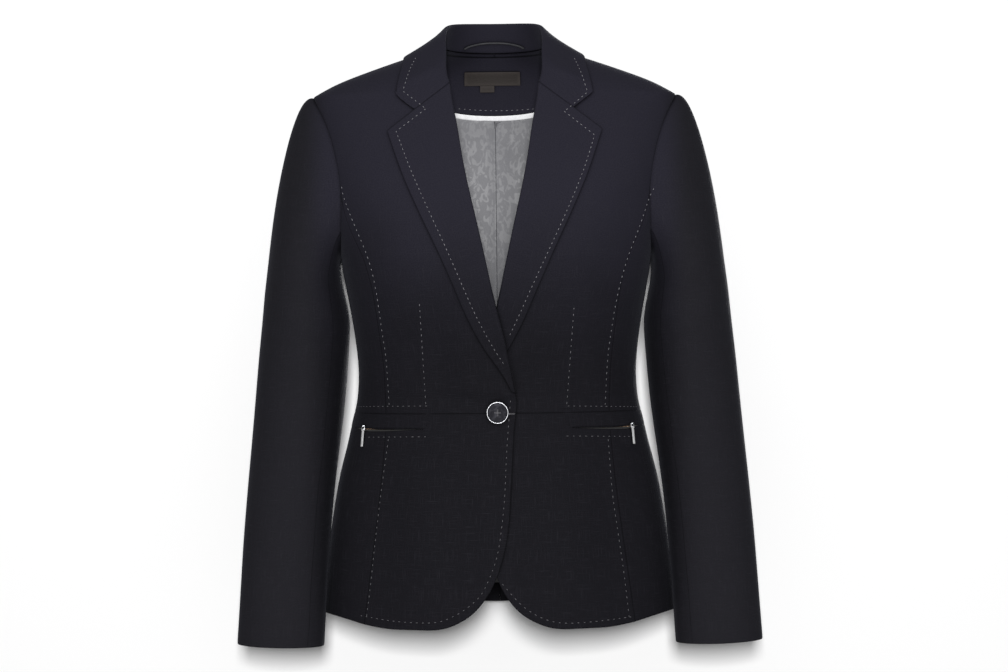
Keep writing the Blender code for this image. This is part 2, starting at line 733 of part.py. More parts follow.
def neck_row(half):
    def spot(prefix):
        return Vector([COLLAR[prefix + axis](half) for axis in ("_x", "_y", "_z")])

    foot = settle(spot("foot"), 2 * LAYER_GAP)
    top, edge = spot("top"), settle(spot("edge"), COLLAR_LIE)
    rise = top - foot
    out = (edge - top - rise * (edge - top).dot(rise) / rise.length_squared).normalized()
    up = (rise - out * COLLAR_ROLL).normalized()
    out = (out - up * out.dot(up)).normalized()
    stand = max((rise - out * COLLAR_ROLL).length - COLLAR_ROLL, LAYER_GAP)
    shoulder = foot + up * stand
    row = [foot, foot.lerp(shoulder, 0.5), shoulder]
    fold = math.radians(COLLAR["fold"](half))
    for share in even(4)[1:]:
        angle = fold * share
        row.append(shoulder + out * COLLAR_ROLL * (1 - math.cos(angle))
                   + up * COLLAR_ROLL * math.sin(angle))
    start = row[-1]
    heading = up * math.cos(fold) + out * math.sin(fold)
    bend = start + heading * (edge - start).length * 0.4
    for share in COLLAR_SHARES:
        rest = 1 - share
        point = start * rest ** 2 + bend * 2 * share * rest + edge * share ** 2
        row.append(settle(point, COLLAR_LIE, only_up=share < 1))
    return row


COLLAR_STEPS = 13      # stations from the back's middle to the gorge


def collar(looks, group):
    rows = [collar_row(i / COLLAR_STEPS) for i in range(-COLLAR_STEPS, COLLAR_STEPS + 1)]
    rows = trimmed(rows, top=SEAM_GAP, bottom=SEAM_GAP)
    free_wall("collar", rows, COLLAR_CLOTH, looks["cloth"], group, gorge_rows=[0, -1])


# ------------------------------------------------------------------ inside the neck
def neck_facing(looks, group):
    rows = []
    for share in even(6):
        rows.append(row_between(96, 264, 18, lambda turn: lerp(-2.0, facing_foot(turn), share)))
    body_wall("neck_facing", rows, looks["cloth"], group, 1,
              outer=-CLOTH - LINING_GAP, thick=THIN_CLOTH)


def facing_foot(turn):
    return FACING_FOOT["z"](turn if turn <= 180 else 360 - turn)


def piping(looks, group):
    rows = []
    for drop in (SEAM_GAP, SEAM_GAP + PIPING_WIDTH / 2, SEAM_GAP + PIPING_WIDTH):
        rows.append(row_between(96, 264, 18, lambda turn: facing_foot(turn) - drop))
    body_wall("piping", rows, looks["satin"], group, 1,
              outer=-CLOTH - LINING_GAP, thick=1.6 * THIN_CLOTH)


def armhole_limit(z):
    """Turn at which the armhole's back edge crosses a level, or 90 away from it."""
    for step in range(ARMHOLE_STEPS):
        (a, high), (b, low) = (armhole_turn(s, False) for s in (step, step + 1))
        if low <= z <= high:
            return lerp(a, b, (high - z) / (high - low))
    return 90.0


def back_lining(name, side, looks, group):
    """Half of the lining, from under the piping to above the hem, clear of the armhole."""
    columns, margin = 9, 2.0
    turns = [lerp(180, 96, j / columns) for j in range(columns + 1)]
    start = [facing_foot(turn) - 2 * SEAM_GAP - PIPING_WIDTH for turn in turns]
    rows = [[torso_point(turn, z) for turn, z in zip(turns, start)]]
    for level in LINING_LEVELS:
        row = []
        for j, turn in enumerate(turns):
            z = min(level, start[j] + (level - start[0]) * 0.9) if level > -200 else level
            far = max(armhole_limit(z) + margin, lerp(96, 91.5, ease(-z, 60, 240)))
            row.append(torso_point(lerp(180, far, j / columns), z))
        rows.append(row)
    rows = trimmed(rows, left=SEAM_GAP / 2)
    body_wall("back_lining_" + name, rows, looks["lining"], group, side,
              outer=-CLOTH - LINING_GAP, thick=THIN_CLOTH)


def patch_on_facing(node, middle, half_width, top, bottom, look, group):
    """Small flat piece on the facing; middle is to the right of the back's own."""
    depth = CLOTH + LINING_GAP + THIN_CLOTH + LAYER_GAP + SEAM_GAP
    rows = []
    for z in (top, (top + bottom) / 2, bottom):
        ends = [180 - front_turn(middle + reach, z) for reach in (half_width, -half_width)]
        rows.append(row_between(*ends, 4, z))
    body_wall(node, rows, look, group, 1, outer=-depth, thick=THIN_CLOTH)


def tube(name, points, radius, look, group, sides=2):
    """Round wire along points, with filled ends."""
    curve = bpy.data.curves.new(name, "CURVE")
    curve.dimensions = "3D"
    curve.bevel_depth = radius
    curve.bevel_resolution = sides
    curve.use_fill_caps = True
    spline = curve.splines.new("POLY")
    spline.points.add(len(points) - 1)
    for spot, point in zip(spline.points, points):
        spot.co = (*point, 1.0)
    return mesh_of_curve(name, curve, look, group)


def mesh_of_curve(name, curve, look, group):
    guide = bpy.data.objects.new(name + "_guide", curve)
    group.objects.link(guide)
    evaluated = guide.evaluated_get(bpy.context.evaluated_depsgraph_get())
    mesh = bpy.data.meshes.new_from_object(evaluated)
    bpy.data.objects.remove(guide)
    shape = bmesh.new()
    shape.from_mesh(mesh)
    bmesh.ops.remove_doubles(shape, verts=shape.verts, dist=1e-3)
    bmesh.ops.recalc_face_normals(shape, faces=shape.faces)
    shape.to_mesh(mesh)
    shape.free()
    return new_object(name, mesh, look, group)


def on_stand(along, share):
    """Point on the facets of the collar's stand, and its normal towards the neck."""
    place = along * COLLAR_STEPS
    whole = math.floor(place)
    rows = [collar_row(i / COLLAR_STEPS) for i in (whole, whole + 1)]
    foot, shoulder = [rows[0][i].lerp(rows[1][i], place - whole) for i in (0, 2)]
    normal = (shoulder - foot).cross(rows[1][1] - rows[0][1]).normalized()
    return foot.lerp(shoulder, share), normal


def hanger_loop(looks, group):
    """Thin loop across the inside of the collar's stand."""
    radius, low, high, reach = 1.0, 0.14, 0.40, 0.17
    points = []
    for share in even(14):
        height = lerp(low, high, math.sin(math.pi * share) ** 0.7)
        point, normal = on_stand(lerp(-reach, reach, share), height)
        points.append(point - normal * (radius + SEAM_GAP))
    tube("hanger_loop", points, radius, looks["satin"], group)


# ------------------------------------------------------------------ button and zips
def turned(node, profile, place, look, group, segments=26):
    """Turned piece about the front-to-back axis; profile is radius and distance forward."""
    mesh = bpy.data.meshes.new(node)
    shape = bmesh.new()
    start = math.pi / segments
    spots = [shape.verts.new((radius * math.cos(start), radius * math.sin(start), forward))
             for radius, forward in profile]
    closed = profile[0][0] > 0 and profile[-1][0] > 0
    pairs = zip(spots, spots[1:] + spots[:1]) if closed else zip(spots, spots[1:])
    rims = [shape.edges.new(pair) for pair in pairs]
    bmesh.ops.spin(shape, geom=spots + rims, axis=(0, 0, 1), cent=(0, 0, 0),
                   angle=2 * math.pi, steps=segments, use_merge=True)
    bmesh.ops.remove_doubles(shape, verts=shape.verts, dist=1e-4)
    bmesh.ops.recalc_face_normals(shape, faces=shape.faces)
    shape.transform(Matrix.Translation(place) @ Matrix.Rotation(math.pi / 2, 4, "X"))
    shape.to_mesh(mesh)
    shape.free()
    return new_object(node, mesh, look, group)


def button(looks, group, cutters):
    """Four-hole button with a bright rim, on the lapped front at the waist seam."""
    front = front_point(0, BUTTON_LEVEL)
    seat = LAP["height"](BUTTON_LEVEL) + LAYER_GAP + 0.8
    place = front + Vector((0, -seat, 0))
    disc = BUTTON_RADIUS - BUTTON_RIM - SEAM_GAP
    plate = [(0, 0), (disc - 1.5, 0), (disc, 0.6), (disc, 2.4), (disc - 1.0, 2.9),
             (disc - 3.2, 2.6), (disc - 4.2, 2.1), (0, 2.1)]
    disc_object = turned("button", plate, place, looks["button"], group)
    inner = BUTTON_RADIUS - BUTTON_RIM
    rim = [(inner, 0.5), (BUTTON_RADIUS - 0.4, 0.5), (BUTTON_RADIUS, 1.2),
           (BUTTON_RADIUS, 2.4), (BUTTON_RADIUS - 0.6, 3.2), (inner, 3.0)]
    turned("button_rim", rim, place, looks["metal"], group)
    for i in range(4):
        angle = math.pi / 2 * i
        bpy.ops.mesh.primitive_cylinder_add(
            vertices=8, radius=1.1 * METRES, depth=8 * METRES,
            rotation=(math.pi / 2, 0, 0),
            location=(place + Vector((2.6 * math.cos(angle), 0, 2.6 * math.sin(angle)))) * METRES)
        hole = bpy.context.object
        hole.name = "button_hole_%d" % (i + 1)
        hole.hide_render = True
        hole.display_type = "WIRE"
        for old in hole.users_collection:
            old.objects.unlink(hole)
        cutters.objects.link(hole)
        cut = disc_object.modifiers.new("hole", "BOOLEAN")
        cut.operation = "DIFFERENCE"
        cut.object = hole


def zip_frame(side):
    """Place and axes at the slider: along the slit to the middle, up the cloth, outwards."""
    spot = front_point(SLIDER_AT, BAND_FOOT - SLIDER_DROP)
    out = outward(spot)
    along = Vector((0, 0, 1)).cross(out).normalized()
    if along.x > 0:
        along = -along
    up = out.cross(along).normalized()
    if up.z < 0:
        up = -up

    def own(v):
        return Vector((v.x * side, v.y, v.z))
    return own(spot), own(along), own(up), own(out)


def tilted(along, up, out):
    angle = math.radians(PULL_TILT)
    return (along * math.cos(angle) + up * math.sin(angle),
            up * math.cos(angle) - along * math.sin(angle))


def outline_solid(node, outlines, place, across, up, out, half_width, look, group):
    """Flat outlines in the out-up plane, given their thickness across."""
    curve = bpy.data.curves.new(node, "CURVE")
    curve.dimensions = "2D"
    curve.fill_mode = "BOTH"
    curve.extrude = half_width
    for points in outlines:
        spline = curve.splines.new("POLY")
        spline.points.add(len(points) - 1)
        for spot, (a, b) in zip(spline.points, points):
            spot.co = (a, b, 0, 1)
        spline.use_cyclic_u = True
    mesh = mesh_of_curve(node, curve, look, group)
    turn = Matrix((out, up, across)).transposed().to_4x4()
    move = Matrix.Translation(place * METRES) @ turn
    shape = bmesh.new()
    shape.from_mesh(mesh.data)
    shape.transform(move)
    if turn.determinant() < 0:
        bmesh.ops.reverse_faces(shape, faces=shape.faces)
    shape.to_mesh(mesh.data)
    shape.free()
    return mesh


def circle(centre, radius, count, start=0.0, sweep=360.0):
    steps = count if sweep == 360.0 else count + 1
    turns = [math.radians(start + sweep * i / count) for i in range(steps)]
    return [(centre[0] + radius * math.cos(a), centre[1] + radius * math.sin(a)) for a in turns]


WIRE = 0.55            # radius of the ring's wire
EYE = 0.75             # radius of the holes that it runs in
PULL_OUT = 1.9         # how far the ring's wire is from the cloth
RING_TOP = 3.0         # ring's upper and lower wire over the slit
RING_FOOT = -1.6
RING_HALF = 2.4
BAR_HALF = 1.2
BAR_LENGTH = 18.0


def zip_slider(name, side, looks, group, cutters):
    place, along, up, out = zip_frame(side)
    across, tilt_up = tilted(along, up, out)
    node = "zip_slider_" + name
    lug = circle((PULL_OUT, RING_TOP), EYE + 0.85, 10, -90, 180)
    lug += circle((PULL_OUT, RING_TOP), EYE + 0.85, 4, 90, 60)
    lug += [(0.35, RING_TOP), (0.35, -0.8), (0.9, -0.8), (1.1, 1.0)]
    lug_object = outline_solid(node + "_lug", [lug, circle((PULL_OUT, RING_TOP), EYE, 10)],
                               place, across, tilt_up, out, 0.7, looks["metal"], cutters)
    bpy.ops.mesh.primitive_cube_add(size=1)
    body = bpy.context.object
    body.name = node
    for old in body.users_collection:
        old.objects.unlink(body)
    group.objects.link(body)
    body.data.materials.append(looks["metal"])
    middle = place + out * -0.5
    axes = Matrix((along * 5, up * 1.5, out * 2.2)).transposed().to_4x4()
    shape = bmesh.new()
    shape.from_mesh(body.data)
    shape.transform(Matrix.Scale(METRES, 4) @ Matrix.Translation(middle) @ axes)
    bmesh.ops.recalc_face_normals(shape, faces=shape.faces)
    shape.to_mesh(body.data)
    shape.free()
    join = body.modifiers.new("lug", "BOOLEAN")
    join.operation = "UNION"
    join.object = lug_object
    lug_object.hide_render = True
    lug_object.display_type = "WIRE"


def zip_ring(name, side, looks, group):
    place, along, up, out = zip_frame(side)
    across, tilt_up = tilted(along, up, out)
    corner = 1.3
    points = []
    middle = (RING_TOP + RING_FOOT) / 2
    half_height = (RING_TOP - RING_FOOT) / 2
    for sx, sy, start in ((1, 1, 0), (-1, 1, 90), (-1, -1, 180), (1, -1, 270)):
        centre = (sx * (RING_HALF - corner), middle + sy * (half_height - corner))
        points += circle(centre, corner, 3, start, 90)
    curve = bpy.data.curves.new("zip_ring_" + name, "CURVE")
    curve.dimensions = "3D"
    curve.bevel_depth = WIRE
    curve.bevel_resolution = 1
    spline = curve.splines.new("POLY")
    spline.points.add(len(points) - 1)
    for spot, (a, b) in zip(spline.points, points):
        spot.co = (*(place + across * a + tilt_up * b + out * PULL_OUT), 1)
    spline.use_cyclic_u = True
    return mesh_of_curve("zip_ring_" + name, curve, looks["metal"], group)


def zip_bar(name, side, looks, group):
    place, along, up, out = zip_frame(side)
    across, tilt_up = tilted(along, up, out)
    thick = 0.55
    eye = circle((PULL_OUT, RING_FOOT), EYE + 0.5, 12, -60, 300)
    foot = RING_FOOT - BAR_LENGTH
    blade = [(PULL_OUT - thick, foot + 0.3), (PULL_OUT - thick + 0.3, foot),
             (PULL_OUT + thick - 0.3, foot), (PULL_OUT + thick, foot + 0.3)]
    return outline_solid("zip_bar_" + name, [eye + blade, circle((PULL_OUT, RING_FOOT), EYE, 10)],
                         place, across, tilt_up, out, BAR_HALF, looks["metal"], group)


def zip_tape(name, side, looks, group):
    rows = []
    for z in (BAND_FOOT + 5, BAND_FOOT - 1.7, BAND_FOOT - 9):
        rows.append(row_between(front_turn(BAND_START - 3, z), front_turn(SLIT_END + 1, z), 9, z))
    body_wall("zip_tape_" + name, rows, looks["tape"], group, side,
              outer=-CLOTH - LINING_GAP, thick=THIN_CLOTH)


# ------------------------------------------------------------------ the garment
def main():
    for old in list(bpy.data.objects):
        bpy.data.objects.remove(old)
    group = bpy.data.collections.new("blazer")
    cutters = bpy.data.collections.new("cutters")
    for collection in (group, cutters):
        bpy.context.scene.collection.children.link(collection)
    looks = {
        "cloth": material("navy_cloth", (0.022, 0.022, 0.034), 0.85),
        "lining": material("silver_lining", (0.62, 0.62, 0.66), 0.35),
        "satin": material("pale_satin", (0.72, 0.72, 0.74), 0.3),
        "label": material("label_cloth", (0.10, 0.075, 0.07), 0.6),
        "tape": material("zip_tape", (0.02, 0.018, 0.02), 0.8),
        "metal": material("bright_metal", (0.75, 0.76, 0.78), 0.22, 1.0),
        "button": material("dark_button", (0.05, 0.05, 0.065), 0.3),
    }
    for name, side in SIDES:
        for make in (front_upper, side_front_upper, pocket_band, front_lower, side_front_lower,
                     back_half, side_back, sleeves, lapel, back_lining, zip_tape, zip_ring,
                     zip_bar):
            make(name, side, looks, group)
        zip_slider(name, side, looks, group, cutters)
    for make in (collar, neck_facing, piping, hanger_loop):
        make(looks, group)
    patch_on_facing("label", -2.6, 32.0, -16.9, -32.0, looks["label"], group)
    patch_on_facing("size_tab", -8.5, 8.0, -32.6, -39.5, looks["label"], group)
    button(looks, group, cutters)


main()
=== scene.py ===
"""Looks of a fitted one-button blazer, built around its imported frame.

Each cloth piece is the frame's own wall, merged, made smooth, softened along its seams, given
the soft troughs and swells of worn cloth, and mapped in metres so that its weave keeps its
scale.  Stitches, zip teeth and the button's thread are Geometry Nodes rows that end as meshes.
Sizes are millimetres unless a name says otherwise.  "Left" is the viewer's left.
"""
import math

import bmesh
import bpy
import numpy as np
from bpy.props import FloatProperty, FloatVectorProperty, PointerProperty
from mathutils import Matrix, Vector
from mathutils.bvhtree import BVHTree
from mathutils.kdtree import KDTree


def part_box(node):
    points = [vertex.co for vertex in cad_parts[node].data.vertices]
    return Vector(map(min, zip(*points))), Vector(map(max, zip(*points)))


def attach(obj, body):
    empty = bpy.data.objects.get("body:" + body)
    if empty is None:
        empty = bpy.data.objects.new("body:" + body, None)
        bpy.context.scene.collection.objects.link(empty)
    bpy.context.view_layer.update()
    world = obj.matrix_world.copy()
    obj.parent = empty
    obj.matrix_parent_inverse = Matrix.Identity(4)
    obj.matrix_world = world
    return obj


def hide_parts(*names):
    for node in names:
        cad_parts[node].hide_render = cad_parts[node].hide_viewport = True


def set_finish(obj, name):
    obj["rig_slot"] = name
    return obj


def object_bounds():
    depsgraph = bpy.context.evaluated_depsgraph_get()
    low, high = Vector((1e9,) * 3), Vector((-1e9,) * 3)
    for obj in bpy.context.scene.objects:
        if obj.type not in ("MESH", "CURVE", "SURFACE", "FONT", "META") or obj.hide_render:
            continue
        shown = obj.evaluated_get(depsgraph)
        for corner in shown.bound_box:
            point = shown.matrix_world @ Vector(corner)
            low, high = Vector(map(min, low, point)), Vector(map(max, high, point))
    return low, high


bl_info = {
    "name": "Fitted blazer",
    "version": (1, 0, 0),
    "blender": (4, 5, 0),
    "location": "View3D > Sidebar > Blazer",
    "description": "Cloth, stitching, zips, button and studio for a fitted blazer",
    "category": "Object",
}

MM = 0.001
BODY = "jacket"
SIDES = (("left", -1), ("right", 1))
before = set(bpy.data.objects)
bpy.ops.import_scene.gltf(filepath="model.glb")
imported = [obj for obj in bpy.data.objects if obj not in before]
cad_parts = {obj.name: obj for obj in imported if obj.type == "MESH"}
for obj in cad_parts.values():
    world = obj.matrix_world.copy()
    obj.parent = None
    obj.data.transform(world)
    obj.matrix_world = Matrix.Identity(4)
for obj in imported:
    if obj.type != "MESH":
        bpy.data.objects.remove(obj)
CAD_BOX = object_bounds()

# The picture that the rows of stitches are measured in, and its camera
PICTURE = (1008, 672)
PIXEL = 1.1  # millimetres on the plane through the garment's middle
CAMERA_PLACE = Vector((0.0077, -2.8, -0.318))
CAMERA_ROLL = 0.0104
SENSOR = 36.0
SEARCH_START = 0.5  # metres from the camera, where a search for the cloth starts
DART_DISTANCE = 2.69  # metres from the camera to the darts

# Middle of each sleeve and of the torso, for the direction "out of the cloth"
SLEEVE_LINE = (  # z, x, y
    (-657, 240, -48), (-600, 236, -42), (-529, 231, -29), (-450, 223.5, -7),
    (-397, 217.5, 3), (-300, 209.5, 4), (-251, 212, 2), (-150, 205, 2), (-54, 200, 0),
)
TORSO_DEPTH = 0.62  # of the torso's section, over its width
# What unrolls each kind of piece to its flat map
SLEEVE_RADIUS, COLLAR_RADIUS, TORSO_RADIUS = 52, 85, 165
SLEEVE_WIDTH = 1.15  # of the sleeve's section, over its depth
COLLAR_MIDDLE = 20
LAPEL_LEAN = math.radians(17)

MERGE = 2e-6  # metres within which points of the frame are one
SHARP = math.radians(50)  # a wall's rim turns more than this
SEAM_CLOSE = 0.15  # how far each edge grows into its seam's gap
EDGE_TURN = 1.3  # how far from its rim a turned edge starts to round off
EDGE_SINK = 0.4  # how much thinner each face is at the rim
# SEAM_REACH also sets how far the painted seam shade beside seams and edges reaches.
SEAM_REACH = 5.0  # how far the pucker beside a seam reaches
TUCK = 1.6  # how far a sleeve's head runs in under the body's edge

# Soft troughs and swells: from x y z, to x y z, half width, depth (inwards is negative)
BODY_FOLDS = (
    (128, -95, -205, 158, -62, -150, 20, -1.6),
    (96, -118, -222, 140, -88, -196, 22, 1.2),
    (60, -100, -330, 110, -92, -372, 16, -1.3),
    (30, -102, -345, 74, -100, -392, 11, -0.9),
    (84, -90, -352, 140, -62, -388, 12, 0.9),
    (26, -106, -392, 62, -100, -382, 7, -0.8),
    (20, -108, -408, 60, -104, -432, 8, -0.8),
    (70, -108, -440, 84, -116, -600, 26, 1.8),
    (118, -92, -450, 128, -98, -600, 22, -2.0),
    (160, -50, -440, 182, -46, -600, 24, 1.6),
    (44, -112, -470, 40, -118, -590, 20, -1.4),
    (60, 74, -352, 20, 82, -390, 15, -1.8),
    (110, 60, -340, 50, 76, -368, 13, 1.4),
    (100, 62, -392, 40, 84, -410, 12, -1.5),
    (150, 40, -250, 118, 78, -180, 22, -2.2),
    (160, 30, -290, 110, 72, -262, 18, 1.5),
    (60, 100, -120, 20, 106, -210, 30, 1.3),
    (52, 96, -470, 60, 116, -610, 26, 2.6),
    (110, 84, -460, 124, 100, -610, 24, -2.6),
    (165, 52, -460, 178, 60, -600, 22, 2.0),
)
SLEEVE_FOLDS = (
    (184, -52, -292, 232, -58, -262, 16, -1.8),
    (176, -40, -322, 222, -54, -300, 13, 1.2),
    (188, -44, -404, 236, -50, -372, 17, -1.9),
    (196, -46, -440, 244, -44, -420, 15, 1.5),
    (200, -56, -476, 246, -50, -452, 14, -1.5),
    (206, -66, -540, 262, -60, -522, 20, 1.3),
    (214, -76, -604, 258, -78, -560, 18, -1.4),
    (236, -40, -120, 246, -50, -200, 24, -1.3),
    (250, 20, -150, 262, 30, -260, 26, 1.5),
    (190, 52, -300, 240, 56, -276, 16, -2.0),
    (196, 54, -390, 246, 50, -364, 18, -2.2),
    (204, 46, -428, 256, 40, -410, 14, 1.8),
    (214, 30, -470, 262, 22, -452, 17, -1.6),
    (222, 0, -570, 268, -8, -552, 20, 1.4),
)
LINING_FOLDS = (
    (22, 96, -110, 30, 88, -360, 13, -2.4),
    (54, 90, -90, 50, 84, -380, 11, -2.2),
    (84, 80, -120, 70, 74, -360, 12, -2.0),
    (40, 96, -440, 44, 110, -590, 16, -2.4),
    (96, 78, -440, 104, 92, -590, 15, -2.2),
)
# Hard pieces, round which the cloth lies as the frame has it: x, z, half width of the calm
CALM = ((0, -399, 34), (105, -417, 30), (145, -428, 36))
# Front darts: foot and point in the picture, and how far the folded cloth stands up
DARTS = (((421, 404), (415, 303)), ((571.4, 404), (578.9, 306.5)))
DART_STEP = 0.8
DART_EDGE = 0.9  # how softly the fold's edge falls off
DART_REACH = 16
PLEAT_STEP = 2.4  # the same for the pleat in the lining's middle
PLEAT_REACH = 9

# Rows of stitches, as points of the picture, and how far they lie inside that line
EDGE_INSET = 6.5
PRINCESS_INSET = 1.8
FRONT_ROWS = {
    "collar_left": (EDGE_INSET, ((409.5, 55.5), (403, 68), (395.3, 93.4), (415.2, 108.7),
        (419.5, 112))),
    "collar_right": (-EDGE_INSET, ((580.5, 56), (587, 69), (595, 94.1), (575.2, 111),
        (571, 114.3))),
    "lapel_left": (EDGE_INSET, ((421, 104.3), (388.4, 129), (403, 168.9), (419.8, 207.1),
        (441.2, 253.1), (459.6, 295.9), (470, 319.3), (486.2, 349.3), (497.5, 366.5))),
    "lapel_right": (-EDGE_INSET, ((569, 106.7), (602, 132.5), (591.2, 168.9), (574.4, 210.2),
        (556, 250), (536.1, 292.9), (524.7, 318.9), (516, 337))),
    "edge_left": (-EDGE_INSET, ((516.9, 402), (514.6, 430), (512.7, 460), (511.5, 493.6),
        (509.5, 518), (504.8, 554), (499.4, 571.5), (493.4, 586), (486, 600.7),
        (467.3, 616.8), (448.6, 626.2), (433.8, 630.2), (392.3, 628.2), (360.2, 622.1))),
    "edge_right": (EDGE_INSET, ((498, 588.9), (508.1, 600.7), (520.2, 613.4), (540.3, 625.2),
        (560.4, 630.2), (591.2, 628.8), (631.3, 623.4))),
    "princess_upper_left": (PRINCESS_INSET, ((340, 188), (341.8, 198), (350.7, 221),
        (366.8, 258.6), (373.9, 287), (380.2, 331.8), (384.6, 358.6), (387.3, 404))),
    "princess_upper_right": (-PRINCESS_INSET, ((655, 190), (650.7, 198), (641.8, 226.4),
        (629.3, 256.8), (618.6, 296), (611.4, 340.7), (608.8, 364), (607, 404))),
    "princess_lower_left": (PRINCESS_INSET, ((386.4, 440), (385.6, 446.7), (380.3, 484.2),
        (373.6, 539), (368.9, 584.6), (365, 615))),
    "princess_lower_right": (-PRINCESS_INSET, ((610, 440), (610.6, 448), (613.9, 493.6),
        (620, 533.7), (626, 573.9), (630.8, 616))),
    "waist_left": (0, ((357.5, 406.6), (426, 406))),
    "waist_right": (0, ((568.6, 406), (636, 406.6))),
    "dart_left": (0, ((419.5, 305), (425.7, 403))),
    "dart_right": (0, ((573.9, 308.6), (566.8, 403))),
    "pocket_left": (0, ((369, 437.2), (425, 436.8))),
    "pocket_right": (0, ((567.5, 436), (629, 436.4))),
    "neck": (0, ((459.5, 108.9), (478, 110.3), (497, 110.9), (516, 110.3), (533, 109))),
}
# Rows that the picture doesn't show, as x and z in millimetres seen from behind
BACK_ROWS = {
    "back_princess": ((157, -165), (141, -196), (126, -235), (106, -300), (91, -372),
                      (98, -450), (109, -540), (117, -612)),
    "collar_back": ((0, -1.5), (40, -2.5), (58, -3.5)),
}

SLIT = (110, 140)  # where the zip's chain shows in the open slit
SLIT_LEVEL = -416.3
TOOTH_LENGTH, TOOTH_RISE, TOOTH_ROW = 0.9, 1.1, 0.5
SLIT_EDGE = -415.65  # between the pocket's band and the cloth below it
SLIT_GAPE = (74, 143)  # where the slit's lower lip sags open
LIP_SAG, LIP_LIFT, LIP_REACH = 1.7, 0.5, 6
BAND_END = (74, -408.5)  # the pocket band's inner end, whose seam is pressed flat

# Button: how far in from its edge and how high, then its bright rim and its thread
BUTTON_FACE = ((1.6, 0), (0.5, 0.3), (0, 0.9), (0, 2.2), (0.5, 2.7), (1.2, 2.9),
               (2.6, 2.75), (3.6, 2.3), (4.4, 2.1))
BUTTON_MIDDLE = 2.0
BUTTON_PLAY, RIM_PLAY = 0.4, 0.6  # how much smaller than the frame's pieces
BEZEL_FOOT, BEZEL_TOP, BEZEL_GAP = 0.6, 3.1, 0.05
THREAD_REACH, THREAD_LEVEL, THREAD_RISE, THREAD_APART = 2.9, 2.25, 0.55, 0.42
THREAD_STEPS = 8
BUTTONHOLE = ((508.6, 413.9), 0.75, 0.45)  # end in the picture, step and half width

# Studio, in metres: soft lamps with place, size and the setting that holds their power
LAMPS = (
    ("front_lamp", (0.01, -3.6, -0.02), (0.28, 0.42), "lamp"),
    ("top_lamp", (0.0, -1.3, 1.6), (1.2, 1.2), "fill"),
    ("back_lamp", (0.9, 3.2, 0.3), (1.6, 1.6), "rear"),
)
LAMP_AIM = Vector((0, 0, -0.3))
STAGE_SIDE, STAGE_FRONT, STAGE_TOP = 9, -12, 6


# ------------ settings
def amount(name, description, default, high, low=0.0, **more):
    return FloatProperty(name=name, description=description, default=default, min=low,
                         max=high, **more)


def length(name, description, default, low, high):
    """A size in metres with its name and limits."""
    return amount(name, description, default, high, low, precision=5, unit="LENGTH")


def colour(name, description, default):
    return FloatVectorProperty(name=name, description=description, default=default, size=3,
                               min=0.0, max=1.0, subtype="COLOR")


class BlazerCloth(bpy.types.PropertyGroup):
    """Outer cloth and lining."""
    # Upper and lower differ in hue, navy against charcoal, and in lightness; the lighter upper
    # tone is painted top light.
    upper: colour("Upper cloth", "Navy of the shoulders and lapels", (0.0183, 0.0174, 0.0258))
    lower: colour("Lower cloth", "Charcoal of the skirt", (0.0080, 0.0077, 0.0100))
    sleeve: colour("Sleeve cloth", "Tone of the sleeves", (0.0130, 0.0126, 0.0158))
    slub: colour("Slub", "Thicker threads that catch the light", (0.026, 0.025, 0.032))
    lining: colour("Lining", "Ground of the lining", (0.175, 0.175, 0.188))
    figure: colour("Lining figure", "Woven figure of the lining", (0.200, 0.200, 0.212))
    thread_pitch: length("Thread pitch", "From one thread to the next", 0.00065, 0.0002, 0.003)
    fold: amount("Folds", "Strength of the soft folds", 1.0, 2.0)
    weave: amount("Weave relief", "How strongly the threads stand out", 0.35, 1.0,
                  subtype="FACTOR")


class BlazerStitching(bpy.types.PropertyGroup):
    """Pale topstitching."""
    thread: colour("Thread", "Topstitching thread", (0.25, 0.245, 0.265))
    stitch: length("Stitch", "Length of a stitch", 0.0024, 0.001, 0.02)
    pitch: length("Pitch", "From one stitch to the next", 0.0056, 0.001, 0.03)
    radius: length("Thread radius", "Half the thread's thickness", 0.00032, 0.0001, 0.002)


class BlazerTrims(bpy.types.PropertyGroup):
    """Button, zips, piping and labels."""
    metal: colour("Metal", "Zip pulls and the button's rim", (0.78, 0.79, 0.81))
    teeth: colour("Zip teeth", "Warm metal of the zip's teeth", (0.30, 0.20, 0.13))
    button: colour("Button", "Button's face", (0.014, 0.014, 0.018))
    satin: colour("Piping", "Satin piping under the neck facing", (0.74, 0.74, 0.76))
    label: colour("Label", "Bare woven label", (0.030, 0.025, 0.023))
    tooth_pitch: length("Tooth pitch", "From one zip tooth to the next", 0.00125, 0.0005, 0.01)


class BlazerStage(bpy.types.PropertyGroup):
    """Studio."""
    floor_drop: length("Floor drop", "Floor under the cuffs", 0.75, 0.0, 3.0)
    backdrop: length("Backdrop", "From the back's furthest point to the wall", 0.035, 0.0, 3.0)
    sky: amount("Sky", "Brightness of the room", 0.24, 5.0)
    lamp: amount("Lamp", "Power of the soft front lamp", 124.0, 900.0, unit="POWER")
    fill: amount("Fill", "Power of the top lamp", 4.0, 900.0, unit="POWER")
    rear: amount("Rear", "Power of the soft lamp behind", 110.0, 900.0, unit="POWER")


# ------------ finishes
def new_node(tree, kind, settings=(), **inputs):
    """A node; inputs are named by their label or i0, i1... and are sockets or values."""
    node = tree.nodes.new(kind)
    for key, value in dict(settings).items():
        setattr(node, key, value)
    for label, value in inputs.items():
        place = int(label[1:]) if label[0] == "i" else label.replace("_", " ")
        socket = node.inputs[place]
        if isinstance(value, bpy.types.NodeSocket):
            tree.links.new(value, socket)
        else:
            socket.default_value = (*value[:3], 1.0) if socket.type == "RGBA" else value
    return node


